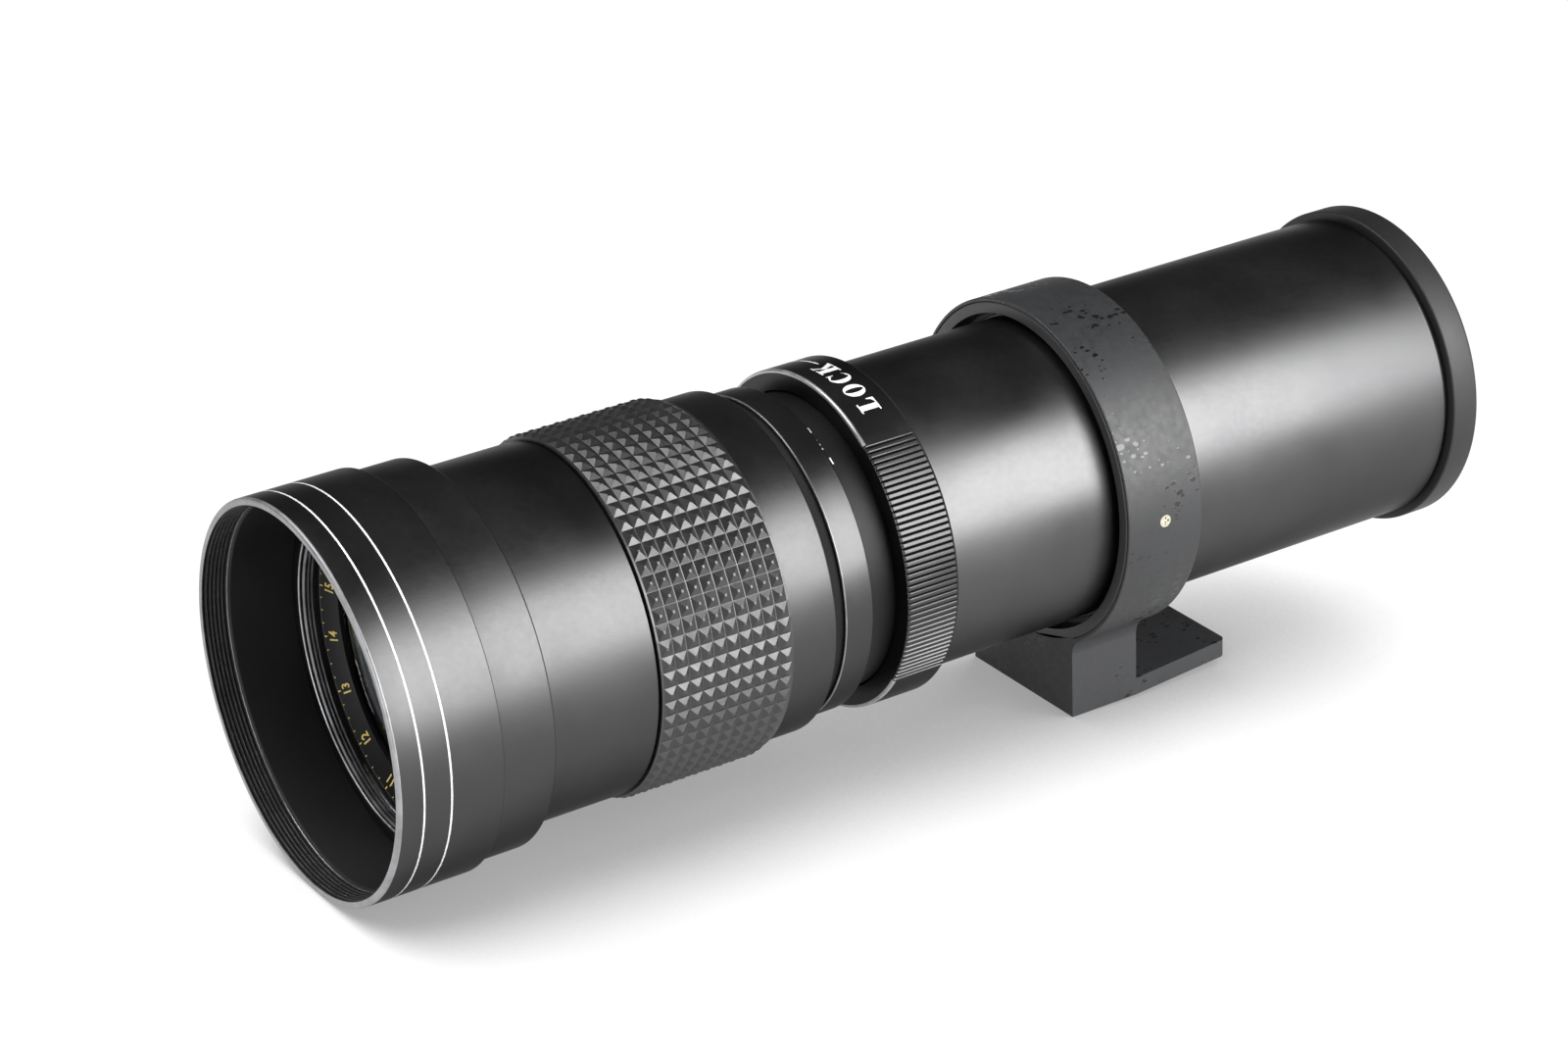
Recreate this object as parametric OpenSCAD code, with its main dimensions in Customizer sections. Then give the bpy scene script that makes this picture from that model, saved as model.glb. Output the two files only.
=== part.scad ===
// Super telephoto zoom lens of the push-pull kind, on a rotating tripod collar.
// The optical axis is Y. The camera seat is at y = 0, the front looks along -Y, and up is +Z.
// Turned pieces are profiles of [radius, y] points, turned about the optical axis.
// Angles round the axis count from the top (+Z) towards +X.

/* [Lengths along the axis, from the camera seat forwards] */
// Rear flange
flange_len = 6; // [5:0.1:10]
// Main tube between the rear flange and the tripod collar
rear_run_len = 63.5; // [45:0.1:90]
// Tripod collar ring
collar_len = 16.9; // [15.5:0.1:26]
// Main tube between the tripod collar and the lock ring
front_run_len = 36.6; // [20:0.1:60]
// Lock ring
lock_len = 11.35; // [10.6:0.05:16]
// Draw tube left showing when the zoom is pushed in
neck_len = 6.52; // [3:0.01:12]
// Index ring
index_len = 5.96; // [4:0.01:10]
// Dark groove between the index ring and the focus ring
groove_len = 2.84; // [1.5:0.01:5]
// Smooth skirt of the focus ring behind the rubber
skirt_len = 9.53; // [6:0.01:16]
// Rubber grip
grip_len = 27.4; // [25:0.1:45]
// Front barrel between the grip and the hood
barrel_len = 22.53; // [18:0.01:40]
// Narrow rear ring of the hood
hood_base_len = 10.71; // [8:0.01:18]
// Wide front shell of the hood
hood_len = 20.26; // [17:0.01:40]

/* [Travel] */
// Zoom travel of the draw tube
zoom_travel = 88; // [60:1:92]
// Focus travel of the front barrel
focus_travel = 12; // [6:0.5:13]

/* [Radii, walls and steps, from the main tube] */
// Outer radius of the main tube ahead of the collar
main_tube_r = 29.44; // [26:0.01:34]
// Wall of the main tube
main_wall = 1.04; // [0.9:0.01:2]
// Step up to the thicker rear stretch of the main tube
rear_step = 0.45; // [0.3:0.01:1]
// Rise of the rear flange over the main tube
flange_rise = 1.46; // [1:0.01:4]
// Rise of the lock ring over the main tube
lock_rise = 2.78; // [2.4:0.01:5]
// Gap between the draw tube and the main tube's bore
draw_gap = 0.4; // [0.35:0.01:0.6]
// Wall of the draw tube
draw_wall = 1.5; // [1.3:0.1:2.5]
// Wall of the index ring's hub on the draw tube
hub_wall = 1.25; // [1.1:0.05:1.9]
// Rise of the index ring over its hub
index_rise = 1.38; // [1:0.01:3]
// Wall of the sliding spigot that carries the front barrel
spigot_wall = 2; // [1.9:0.05:3]
// Wall of the focus sleeve under the rubber
sleeve_wall = 1; // [0.8:0.05:2]
// Depth of the seat that the rubber lies in
rubber_seat = 0.88; // [0.5:0.01:1.2]
// Thickness of the rubber under its pyramids
grip_base = 1.87; // [1.1:0.01:2]
// Plain rim of the rubber at each end
grip_rim = 0.35; // [0.2:0.05:0.8]
// Height of the rubber pyramids
pyramid_h = 0.56; // [0.5:0.01:1.5]
// Rise of the front barrel over the focus ring's skirt
barrel_rise = 0.52; // [0.3:0.01:2]
// Wall of the front barrel at the filter thread
barrel_wall = 1.78; // [1.5:0.01:3]
// Wall of the narrow rear ring of the hood
hood_base_wall = 2.57; // [2.2:0.01:4]
// Step from the rear ring of the hood up to the shell
hood_step = 1.1; // [0.8:0.01:3]
// Wall of the hood at its rim
rim_wall = 1.4; // [0.9:0.01:1.45]

/* [Grip, knurl and ring lines] */
// Pyramids round the grip
pyramids_around = 72; // [48:1:96]
// Pyramids along the grip
pyramids_along = 10; // [8:1:14]
// Grooves in each knurled sector of the lock ring
knurl_count = 43; // [30:1:46]
// Angle from one knurl groove to the next, degrees
knurl_pitch_deg = 2.05; // [1.8:0.01:2.1]
// Angle where the right knurled sector starts, degrees
knurl_start_deg = 37.6; // [20:0.1:60]
// Depth of the knurl grooves
knurl_depth = 0.44; // [0.3:0.01:0.48]
// Width of the knurl grooves
knurl_w = 0.6; // [0.5:0.01:0.8]
// Front white ring line behind the hood's rim
line_from_rim = 4.75; // [3:0.05:7]
// Spacing of the two white ring lines
line_spacing = 5.29; // [4:0.01:8]
// Width of a white ring line
line_w = 0.35; // [0.3:0.05:1]
// Depth of a white ring line
line_d = 0.25; // [0.15:0.01:0.4]

/* [Tripod collar] */
// Mouth gap between the main tube and the collar bushing
mouth_gap = 1.36; // [1.2:0.01:2]
// Wall of the collar bushing
bushing_wall = 2.3; // [1.8:0.05:3]
// Wall of the collar casting over the bushing
collar_wall = 0.65; // [0.6:0.01:2]
// Drop from the collar ring to the underside of the foot
foot_drop = 11.9; // [10:0.1:30]
// Width of the foot
foot_w = 31.84; // [26:0.01:40]
// Length of the block under the ring
block_len = 15.2; // [13:0.1:15.4]
// Length of the foot plate behind the block
plate_reach = 23.9; // [12:0.1:40]
// Thickness of the foot plate
plate_t = 3.55; // [2.5:0.05:7]
// Width of the foot plate at its rear end
plate_end_w = 27; // [18:0.01:28]
// Corner radius of the foot plate
plate_corner_r = 1.6; // [1:0.1:5]
// Fillet between the block and the ring
foot_fillet_r = 5; // [3:0.1:8]
// Radius of the collar screws
screw_r = 1.2; // [0.8:0.05:1.4]

/* [Camera and tripod interfaces] */
// Radius of the camera thread, M42 by 0.75
camera_thread_r = 21; // [19:0.1:22]
// Length of the camera thread
camera_thread_len = 5; // [3:0.1:7]
// Wall of the camera thread ring
camera_thread_wall = 3; // [2:0.1:3.5]
// Radius of the tripod thread, 1/4 inch
tripod_thread_r = 3.175; // [2.5:0.005:3.5]
// Depth of the tripod thread
tripod_thread_len = 8; // [6:0.1:8.5]
// Wall of the tripod bush
bush_wall = 1.9; // [1.5:0.1:3]

/* [Glass] */
// Surface radius of the crown element's front
crown_front_r = 190; // [160:1:400]
// Surface radius of the cemented joint
cemented_r = 150; // [130:1:400]
// Surface radius of the flint element's hollow back
flint_back_r = 400; // [300:1:900]
// Middle thickness of the crown element
crown_t = 8.5; // [7.5:0.1:9]
// Middle thickness of the flint element
flint_t = 3.5; // [3:0.1:4]
// Radius of the two forward elements of the rear group
rear_glass_r = 20; // [19:0.1:21]
// Radius of the hindmost element
back_glass_r = 17.5; // [16.5:0.1:18]
// Surface radius of the rear group's elements
rear_surface_r = 90; // [80:1:200]

/* [Hidden] */
$fn = 128;

// Clearances: fixed fits, running fits, and free space between pieces that move apart
fit_gap = 0.05;
run_gap = 0.08;
free_gap = 0.3;
// Overrun of a cut past the face that it starts on
over = 1;
// Bevels on turned edges: a plain one, and a wide one that catches the light
bevel = 0.25;
wide_bevel = 0.5;
lock_back_bevel = 0.75;
// Thickness of the sheet rings: baffles and retaining rings
sheet_t = 1.2;
retainer_len = 1.5;

// Stations along the axis
seat_y = 0;
flange_y = seat_y - flange_len;
collar_back_y = flange_y - rear_run_len;
collar_front_y = collar_back_y - collar_len;
collar_mid_y = (collar_back_y + collar_front_y) / 2;
lock_back_y = collar_front_y - front_run_len;
lock_front_y = lock_back_y - lock_len;
index_back_y = lock_front_y - neck_len;
index_front_y = index_back_y - index_len;
sleeve_back_y = index_front_y - groove_len;
grip_back_y = sleeve_back_y - skirt_len;
grip_front_y = grip_back_y - grip_len;
hood_back_y = grip_front_y - barrel_len;
hood_step_y = hood_back_y - hood_base_len;
hood_front_y = hood_step_y - hood_len;

// Radii of the barrels, from the main tube outwards
main_bore_r = main_tube_r - main_wall;
rear_tube_r = main_tube_r + rear_step;
flange_r = rear_tube_r + flange_rise;
lock_r = main_tube_r + lock_rise;
draw_r = main_bore_r - draw_gap;
draw_bore_r = draw_r - draw_wall;
hub_r = draw_r + fit_gap + hub_wall;
index_r = hub_r + index_rise;
groove_floor_r = (hub_r + index_r) / 2;
spigot_bore_r = draw_r + free_gap;
spigot_r = spigot_bore_r + spigot_wall;
sleeve_bore_r = spigot_r + run_gap;
sleeve_r = sleeve_bore_r + sleeve_wall;
skirt_r = sleeve_r + rubber_seat;
valley_r = sleeve_r + grip_base;
tip_r = valley_r + pyramid_h;
barrel_r = skirt_r + barrel_rise;
filter_thread_r = barrel_r - barrel_wall;
hood_base_bore_r = barrel_r + free_gap;
hood_base_r = hood_base_bore_r + hood_base_wall;
hood_r = hood_base_r + hood_step;
rim_bore_r = hood_r - rim_wall;

// Hood stop: a flange on the front barrel that the hood's base ring is drawn against
stop_flange_len = 3;
stop_flange_r = hood_base_bore_r + 1.4 * free_gap;
barrel_front_y = hood_step_y - free_gap - stop_flange_len;
hood_joint_len = stop_flange_len * 0.8;
hood_joint_bore_r = stop_flange_r + 1.3 * free_gap;
hood_joint_wall = 0.95;
hood_joint_r = hood_joint_bore_r + hood_joint_wall;
hood_bore_r = hood_joint_r + fit_gap;
rim_thread_len = 4.2;
felt_len = 2.5;
felt_depth = 0.9;
felt_y = hood_back_y - hood_base_len / 2;

// Front barrel and objective
filter_thread_len = 3.6;
name_ring_len = 2.6;
name_ring_face = 1.7;
pocket_step = 0.55;
front_cell_wall = 3.55;
cell_tail = 3;
barrel_web = 1.4;
pocket_r = filter_thread_r - pocket_step;
glass_r = pocket_r - fit_gap - front_cell_wall - fit_gap;
name_ring_y = barrel_front_y + filter_thread_len + fit_gap;
name_ring_back_y = name_ring_y + name_ring_len;
name_ring_bore_r = glass_r - 2 * free_gap;
barrel_web_y = grip_front_y - free_gap - barrel_web;
barrel_bore_r = pocket_r - front_cell_wall / 4;
crown_y = name_ring_back_y + 4 * fit_gap - sag(crown_front_r, glass_r);
flint_y = crown_y + crown_t + fit_gap;
flint_back_y = flint_y + flint_t + sag(flint_back_r, glass_r);
front_ring_len = 2.4;
front_cell_back_y = flint_back_y + fit_gap + front_ring_len + cell_tail;

// Focus mechanism
sleeve_lip_len = 6.4;
hub_front_y = sleeve_back_y - sleeve_lip_len - free_gap;
spigot_back_y = hub_front_y - retainer_len - free_gap;
key_w = 3;
key_len = 6;
key_back_y = spigot_back_y - focus_travel - free_gap;
draw_nose_clear = 8.6;
draw_front_y = grip_front_y + draw_nose_clear;

// Zoom mechanism and lock
lock_thread_len = 4.5;
main_lip_len = 3;
collet_len = 5.1;
collet_back_wall = 2.6;
collet_front_wall = 1.2;
collet_slit = 1;
slide_seat = 0.7;
main_front_y = lock_back_y - lock_thread_len;
main_lip_y = main_front_y + main_lip_len;
collet_front_y = main_front_y - collet_len;
collet_bore_r = draw_r + run_gap;
slide_ring_r = main_bore_r - run_gap;
slide_ring_y = main_lip_y + free_gap + zoom_travel;
draw_baffle_shares = [0.25, 0.5, 0.75];
draw_baffle_bore_r = draw_bore_r * 0.8;

// Rear flange, camera mount and rear group
flange_plate_len = 3;
main_back_y = seat_y - flange_plate_len;
tail_r = rear_tube_r - 0.8;
flange_groove_len = 1;
flange_round = 0.8;
mount_seat_r = camera_thread_r + camera_thread_wall;
mount_bore_r = camera_thread_r - camera_thread_wall;
mount_lip_share = 0.45;
mount_lip_r = mount_seat_r + mount_lip_share * (main_bore_r - mount_seat_r);
mount_lip_len = 1.4;
rear_cell_back_y = main_back_y - mount_lip_len;
rear_cell_lip = 1;
back_pocket_len = 3.7;
back_lens_t = 5;
middle_lens_t = 5.4;
spacer_len = 2;
spacer_wall = 1.4;
front_lens_t = 2;
rear_ring_len = 2.2;
rear_cell_flange_len = 5.6;
rear_cell_wall = 2;
rear_pocket_r = rear_glass_r + fit_gap;
rear_shoulder_y = rear_cell_back_y - rear_cell_lip - back_pocket_len;
back_pocket_r = back_glass_r + fit_gap;
back_lip_bore_r = back_pocket_r - rear_cell_lip;
back_lens_seat_y = rear_cell_back_y - rear_cell_lip - fit_gap;
back_lens_y = back_lens_seat_y + sag(rear_surface_r, back_lip_bore_r) - back_lens_t;
middle_lens_y = rear_shoulder_y - fit_gap - middle_lens_t;
spacer_y = middle_lens_y + sag(rear_surface_r, rear_glass_r - spacer_wall) - fit_gap - spacer_len;
rear_front_edge_y = spacer_y - fit_gap - front_lens_t - 2 * sag(rear_surface_r, rear_glass_r);
rear_ring_y = rear_front_edge_y - fit_gap - rear_ring_len;
rear_cell_flange_y = rear_cell_back_y - rear_cell_flange_len;

// The slide ring and the stop sleeve share the room from the zoom's travel to the rear cell
slide_ring_share = 0.463;
slide_ring_len = slide_ring_share * (rear_cell_flange_y - free_gap - slide_ring_y);
draw_back_y = slide_ring_y + slide_ring_len;

// Tripod collar
mouth_r = main_tube_r + mouth_gap;
bushing_r = mouth_r + bushing_wall;
collar_bore_r = bushing_r + fit_gap;
collar_r = collar_bore_r + collar_wall;
bearing_r = rear_tube_r + run_gap;
screw_groove_w = 2 * screw_r + 2 * free_gap;
screw_groove_d = 0.6;
shoulder_y = collar_mid_y - 1.5 * screw_groove_w;
bushing_lip_y = shoulder_y + free_gap;
screw_root_r = rear_tube_r - screw_groove_d + free_gap;
screw_head_r = collar_r - fit_gap;
screw_angles = [90, 270];
cross_w = 0.3;
cross_d = 0.4;
foot_z = -(collar_r + foot_drop);
block_top_z = -sqrt(pow(collar_r, 2) - pow(foot_w / 2, 2)) + over;
block_back_y = collar_front_y + block_len;
plate_back_y = block_back_y + plate_reach;
bush_r = tripod_thread_r + bush_wall;
bush_y = collar_front_y + block_len / 2;

// Colours
black_metal = [0.09, 0.09, 0.10];
soft_black = [0.13, 0.13, 0.14];
rubber_black = [0.15, 0.15, 0.15];
collar_gray = [0.27, 0.28, 0.30];
paint_white = [0.95, 0.95, 0.95];
felt_black = [0.05, 0.05, 0.05];
glass_tint = [0.25, 0.45, 0.55, 0.35];
nickel = [0.78, 0.76, 0.66];
steel = [0.62, 0.63, 0.65];
brass = [0.72, 0.58, 0.30];

// Depth of a spherical surface at distance x from the axis, negative where the surface is hollow
function sag(surface_r, x) =
    surface_r == 0 ? 0 : surface_r - sign(surface_r) * sqrt(pow(surface_r, 2) - pow(x, 2));

// Points of an arc, angles from +X of the profile towards its +Y
function arc(cx, cy, r, from, to, steps) =
    [for (i = [0:steps]) let (a = from + (to - from) * i / steps) [cx + r * cos(a), cy + r * sin(a)]];

// Turns a profile of [radius, y] points about the optical axis
module turned(points) {
    rotate([-90, 0, 0]) rotate_extrude() polygon(points);
}

// A turned ring from front_y to back_y with bevelled outer edges
module ring(front_y, back_y, bore_r, outer_r, edge = bevel) {
    turned([[bore_r, front_y], [outer_r - edge, front_y], [outer_r, front_y + edge],
            [outer_r, back_y - edge], [outer_r - edge, back_y], [bore_r, back_y]]);
}

// A plain rod along the axis, for cutting and trimming
module rod(front_y, back_y, r) {
    translate([0, front_y, 0]) rotate([-90, 0, 0]) cylinder(h = back_y - front_y, r = r);
}

// Puts its children at an angle round the optical axis, with +Z pointing outwards
module at_angle(angle) {
    rotate([0, angle, 0]) children();
}

// A lens element. A positive surface radius bulges outwards, a negative one is hollow, 0 is flat.
module lens(front_y, thickness, r, front_surface, back_surface) {
    steps = 16;
    back_y = front_y + thickness;
    front_face = [for (i = [0:steps]) let (x = r * i / steps) [x, front_y + sag(front_surface, x)]];
    back_face = [for (i = [steps:-1:0]) let (x = r * i / steps) [x, back_y - sag(back_surface, x)]];
    turned(concat(front_face, back_face));
}

// Hood
module hood_shell() {
    line_a_y = hood_front_y + line_from_rim - line_w / 2;
    line_b_y = line_a_y + line_spacing;
    color(soft_black) turned([
        [rim_bore_r, hood_front_y], [hood_r - bevel, hood_front_y], [hood_r, hood_front_y + bevel],
        [hood_r, line_a_y], [hood_r - line_d, line_a_y],
        [hood_r - line_d, line_a_y + line_w], [hood_r, line_a_y + line_w],
        [hood_r, line_b_y], [hood_r - line_d, line_b_y],
        [hood_r - line_d, line_b_y + line_w], [hood_r, line_b_y + line_w],
        [hood_r, hood_step_y - bevel], [hood_r - bevel, hood_step_y],
        [hood_bore_r, hood_step_y], [hood_bore_r, hood_front_y + rim_thread_len],
        [rim_bore_r, hood_front_y + rim_thread_len]]);
}

module hood_base_ring() {
    color(soft_black) turned([
        [hood_joint_bore_r, hood_step_y - hood_joint_len], [hood_joint_r, hood_step_y - hood_joint_len],
        [hood_joint_r, hood_step_y], [hood_base_r, hood_step_y],
        [hood_base_r, hood_back_y - wide_bevel], [hood_base_r - wide_bevel, hood_back_y],
        [hood_base_bore_r, hood_back_y], [hood_base_bore_r, felt_y + felt_len / 2],
        [hood_base_bore_r + felt_depth, felt_y + felt_len / 2],
        [hood_base_bore_r + felt_depth, felt_y - felt_len / 2],
        [hood_base_bore_r, felt_y - felt_len / 2], [hood_base_bore_r, hood_step_y],
        [hood_joint_bore_r, hood_step_y]]);
}

module hood_line_inlays() {
    first_y = hood_front_y + line_from_rim;
    color(paint_white) for (line_y = [first_y, first_y + line_spacing])
        turned([[hood_r - line_d, line_y - line_w / 2], [hood_r, line_y - line_w / 2],
                [hood_r, line_y + line_w / 2], [hood_r - line_d, line_y + line_w / 2]]);
}

module hood_felt() {
    color(felt_black) ring(felt_y - felt_len / 2, felt_y + felt_len / 2, barrel_r + run_gap,
                           hood_base_bore_r + felt_depth - fit_gap, 0);
}

// Front barrel and objective
module front_barrel() {
    color(soft_black) difference() {
        turned([
            [filter_thread_r, barrel_front_y], [stop_flange_r - bevel, barrel_front_y],
            [stop_flange_r, barrel_front_y + bevel], [stop_flange_r, barrel_front_y + stop_flange_len],
            [barrel_r, barrel_front_y + stop_flange_len], [barrel_r, grip_front_y - free_gap - bevel],
            [barrel_r - bevel, grip_front_y - free_gap], [spigot_r, grip_front_y - free_gap],
            [spigot_r, spigot_back_y], [spigot_bore_r, spigot_back_y], [spigot_bore_r, barrel_web_y],
            [barrel_bore_r, barrel_web_y], [barrel_bore_r, front_cell_back_y],
            [pocket_r, front_cell_back_y], [pocket_r, barrel_front_y + filter_thread_len],
            [filter_thread_r, barrel_front_y + filter_thread_len]]);
        at_angle(180) translate([-key_w / 2 - free_gap, key_back_y - key_len - free_gap, 0])
            cube([key_w + 2 * free_gap, spigot_back_y - key_back_y + key_len + free_gap + over, tip_r]);
    }
}

module name_ring() {
    color(black_metal) turned([
        [name_ring_bore_r, name_ring_y + name_ring_face], [pocket_r - fit_gap - wide_bevel, name_ring_y],
        [pocket_r - fit_gap, name_ring_y], [pocket_r - fit_gap, name_ring_back_y],
        [name_ring_bore_r, name_ring_back_y]]);
}

module front_cell() {
    color(black_metal) ring(name_ring_back_y, front_cell_back_y, glass_r + fit_gap, pocket_r - fit_gap);
}

module crown_lens() {
    color(glass_tint) lens(crown_y, crown_t, glass_r, crown_front_r, cemented_r);
}

module flint_lens() {
    color(glass_tint) lens(flint_y, flint_t, glass_r, -cemented_r, -flint_back_r);
}

module front_cell_ring() {
    color(black_metal) ring(flint_back_y + fit_gap, flint_back_y + fit_gap + front_ring_len,
                            glass_r - front_cell_wall / 2, glass_r);
}

module front_baffle() {
    color(felt_black) turned([[glass_r - 2 * sheet_t, barrel_web_y - sheet_t],
        [barrel_bore_r - fit_gap, barrel_web_y - sheet_t], [barrel_bore_r - fit_gap, barrel_web_y],
        [glass_r - 2 * sheet_t + sheet_t / 2, barrel_web_y]]);
}

// Focus ring
module focus_sleeve() {
    lip_y = sleeve_back_y - sleeve_lip_len;
    color(soft_black) turned([
        [sleeve_bore_r, grip_front_y], [sleeve_r, grip_front_y], [sleeve_r, grip_back_y],
        [skirt_r - bevel, grip_back_y], [skirt_r, grip_back_y + bevel],
        [skirt_r, sleeve_back_y - wide_bevel], [skirt_r - wide_bevel, sleeve_back_y],
        [hub_r + run_gap, sleeve_back_y], [hub_r + run_gap, lip_y], [sleeve_bore_r, lip_y]]);
}

// Rubber ring covered in square pyramids, one closed mesh
module focus_grip() {
    around = pyramids_around;
    along = pyramids_along;
    rim_y = [grip_front_y, grip_back_y - free_gap];
    first_y = rim_y[0] + grip_rim;
    pitch = (rim_y[1] - grip_rim - first_y) / along;
    step = 360 / around;
    seat_r = (sleeve_r + fit_gap) / cos(step / 2);
    function spot(r, angle, y) = [r * sin(angle), y, r * cos(angle)];
    corners = [for (j = [0:along]) for (i = [0:around - 1])
        spot(valley_r, i * step, first_y + j * pitch)];
    tips = [for (j = [0:along - 1]) for (i = [0:around - 1])
        spot(tip_r, (i + 0.5) * step, first_y + (j + 0.5) * pitch)];
    rims = [for (y = rim_y) for (i = [0:around - 1]) spot(valley_r, i * step, y)];
    seat = [for (y = rim_y) for (i = [0:around - 1]) spot(seat_r, i * step, y)];
    first_tip = len(corners);
    first_rim = first_tip + len(tips);
    first_seat = first_rim + len(rims);
    function corner(i, j) = j * around + i % around;
    function tip(i, j) = first_tip + j * around + i % around;
    function rim(i, end) = first_rim + end * around + i % around;
    function inner(i, end) = first_seat + end * around + i % around;
    sides = [for (j = [0:along - 1]) for (i = [0:around - 1]) each [
        [corner(i, j), corner(i + 1, j), tip(i, j)],
        [corner(i + 1, j), corner(i + 1, j + 1), tip(i, j)],
        [corner(i + 1, j + 1), corner(i, j + 1), tip(i, j)],
        [corner(i, j + 1), corner(i, j), tip(i, j)]]];
    ends = [for (i = [0:around - 1]) each [
        [corner(i + 1, 0), corner(i, 0), rim(i, 0), rim(i + 1, 0)],
        [rim(i + 1, 0), rim(i, 0), inner(i, 0), inner(i + 1, 0)],
        [corner(i, along), corner(i + 1, along), rim(i + 1, 1), rim(i, 1)],
        [rim(i, 1), rim(i + 1, 1), inner(i + 1, 1), inner(i, 1)],
        [inner(i + 1, 0), inner(i, 0), inner(i, 1), inner(i + 1, 1)]]];
    color(rubber_black) polyhedron(points = concat(corners, tips, rims, seat), faces = concat(sides, ends),
                                   convexity = 10);
}

// Draw tube
module draw_tube() {
    color(black_metal) turned([
        [draw_bore_r, draw_front_y], [draw_r - bevel, draw_front_y], [draw_r, draw_front_y + bevel],
        [draw_r, slide_ring_y], [draw_r - slide_seat, slide_ring_y],
        [draw_r - slide_seat, draw_back_y], [draw_bore_r, draw_back_y]]);
}

module index_ring() {
    color(soft_black) turned([
        [draw_r + fit_gap, hub_front_y], [hub_r, hub_front_y], [hub_r, sleeve_back_y + free_gap],
        [groove_floor_r, sleeve_back_y + free_gap], [groove_floor_r, index_front_y],
        [index_r - wide_bevel, index_front_y], [index_r, index_front_y + wide_bevel],
        [index_r, index_back_y - wide_bevel], [index_r - wide_bevel, index_back_y],
        [draw_r + fit_gap, index_back_y]]);
}

module focus_retaining_ring() {
    color(steel) ring(hub_front_y - retainer_len, hub_front_y, draw_r + fit_gap, sleeve_bore_r - free_gap);
}

module guide_key() {
    color(brass) difference() {
        intersection() {
            rod(key_back_y - key_len, key_back_y, spigot_r - free_gap);
            at_angle(180) translate([-key_w / 2, key_back_y - key_len, 0]) cube([key_w, key_len, spigot_r]);
        }
        rod(key_back_y - key_len - over, key_back_y + over, draw_r + fit_gap);
    }
}

module draw_slide_ring() {
    color(felt_black) ring(slide_ring_y, draw_back_y, draw_r - slide_seat + fit_gap, slide_ring_r, bevel);
}

module draw_baffles() {
    color(felt_black) for (share = draw_baffle_shares) {
        baffle_y = draw_front_y + share * (draw_back_y - draw_front_y);
        turned([[draw_baffle_bore_r, baffle_y], [draw_bore_r - fit_gap, baffle_y],
                [draw_bore_r - fit_gap, baffle_y + sheet_t],
                [draw_baffle_bore_r + sheet_t / 2, baffle_y + sheet_t]]);
    }
}

// Lock ring: a nut on the main tube that squeezes the collet onto the draw tube
module lock_ring() {
    color(soft_black) difference() {
        turned([
            [draw_r + free_gap, lock_front_y], [lock_r - wide_bevel, lock_front_y],
            [lock_r, lock_front_y + wide_bevel], [lock_r, lock_back_y - lock_back_bevel],
            [lock_r - lock_back_bevel, lock_back_y], [main_tube_r + run_gap, lock_back_y],
            [main_tube_r + run_gap, main_front_y + free_gap],
            [draw_r + collet_back_wall + free_gap, main_front_y + free_gap],
            [draw_r + collet_back_wall + free_gap, main_front_y],
            [draw_r + collet_front_wall + free_gap, collet_front_y - free_gap],
            [draw_r + free_gap, collet_front_y - free_gap]]);
        for (sector = [0, 180]) for (i = [0:knurl_count - 1])
            at_angle(knurl_start_deg + sector + i * knurl_pitch_deg) knurl_groove();
    }
}

module knurl_groove() {
    rise = knurl_depth * 0.4;
    half_w = knurl_w / 2 * (knurl_depth + rise) / knurl_depth;
    translate([0, lock_front_y - over, lock_r]) rotate([-90, 0, 0])
        linear_extrude(height = lock_len + 2 * over)
            polygon([[-half_w, -rise], [half_w, -rise], [0, knurl_depth]]);
}

module lock_collet() {
    color(felt_black) difference() {
        turned([
            [collet_bore_r, collet_front_y], [draw_r + collet_front_wall, collet_front_y],
            [draw_r + collet_back_wall, main_front_y], [collet_bore_r, main_front_y]]);
        at_angle(180) translate([-collet_slit / 2, collet_front_y - over, 0])
            cube([collet_slit, collet_len + 2 * over, lock_r]);
    }
}

// Main tube and camera end
module main_tube() {
    groove_front_y = collar_mid_y - screw_groove_w / 2;
    color(black_metal) turned([
        [draw_r + run_gap, main_front_y], [main_tube_r - bevel, main_front_y],
        [main_tube_r, main_front_y + bevel], [main_tube_r, shoulder_y], [rear_tube_r, shoulder_y],
        [rear_tube_r, groove_front_y], [rear_tube_r - screw_groove_d, groove_front_y],
        [rear_tube_r - screw_groove_d, groove_front_y + screw_groove_w],
        [rear_tube_r, groove_front_y + screw_groove_w], [rear_tube_r, flange_y - flange_groove_len],
        [tail_r, flange_y - flange_groove_len], [tail_r, main_back_y], [main_bore_r, main_back_y],
        [main_bore_r, main_lip_y], [draw_r + run_gap, main_lip_y]]);
}

module stop_sleeve() {
    color(black_metal) ring(draw_back_y + free_gap, rear_cell_flange_y, draw_bore_r, main_bore_r - fit_gap);
}

module rear_flange() {
    color(black_metal) turned(concat(
        [[tail_r + fit_gap, flange_y], [flange_r - bevel, flange_y], [flange_r, flange_y + bevel]],
        arc(flange_r - flange_round, seat_y - flange_round, flange_round, 0, 90, 6),
        [[mount_seat_r + fit_gap, seat_y], [mount_seat_r + fit_gap, main_back_y],
         [tail_r + fit_gap, main_back_y]]));
}

module camera_mount_ring() {
    color(steel) turned([
        [mount_bore_r, rear_cell_back_y], [mount_lip_r, rear_cell_back_y], [mount_lip_r, main_back_y],
        [mount_seat_r, main_back_y], [mount_seat_r, seat_y], [camera_thread_r, seat_y],
        [camera_thread_r, camera_thread_len - wide_bevel],
        [camera_thread_r - wide_bevel, camera_thread_len],
        [mount_bore_r, camera_thread_len]]);
}

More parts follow.
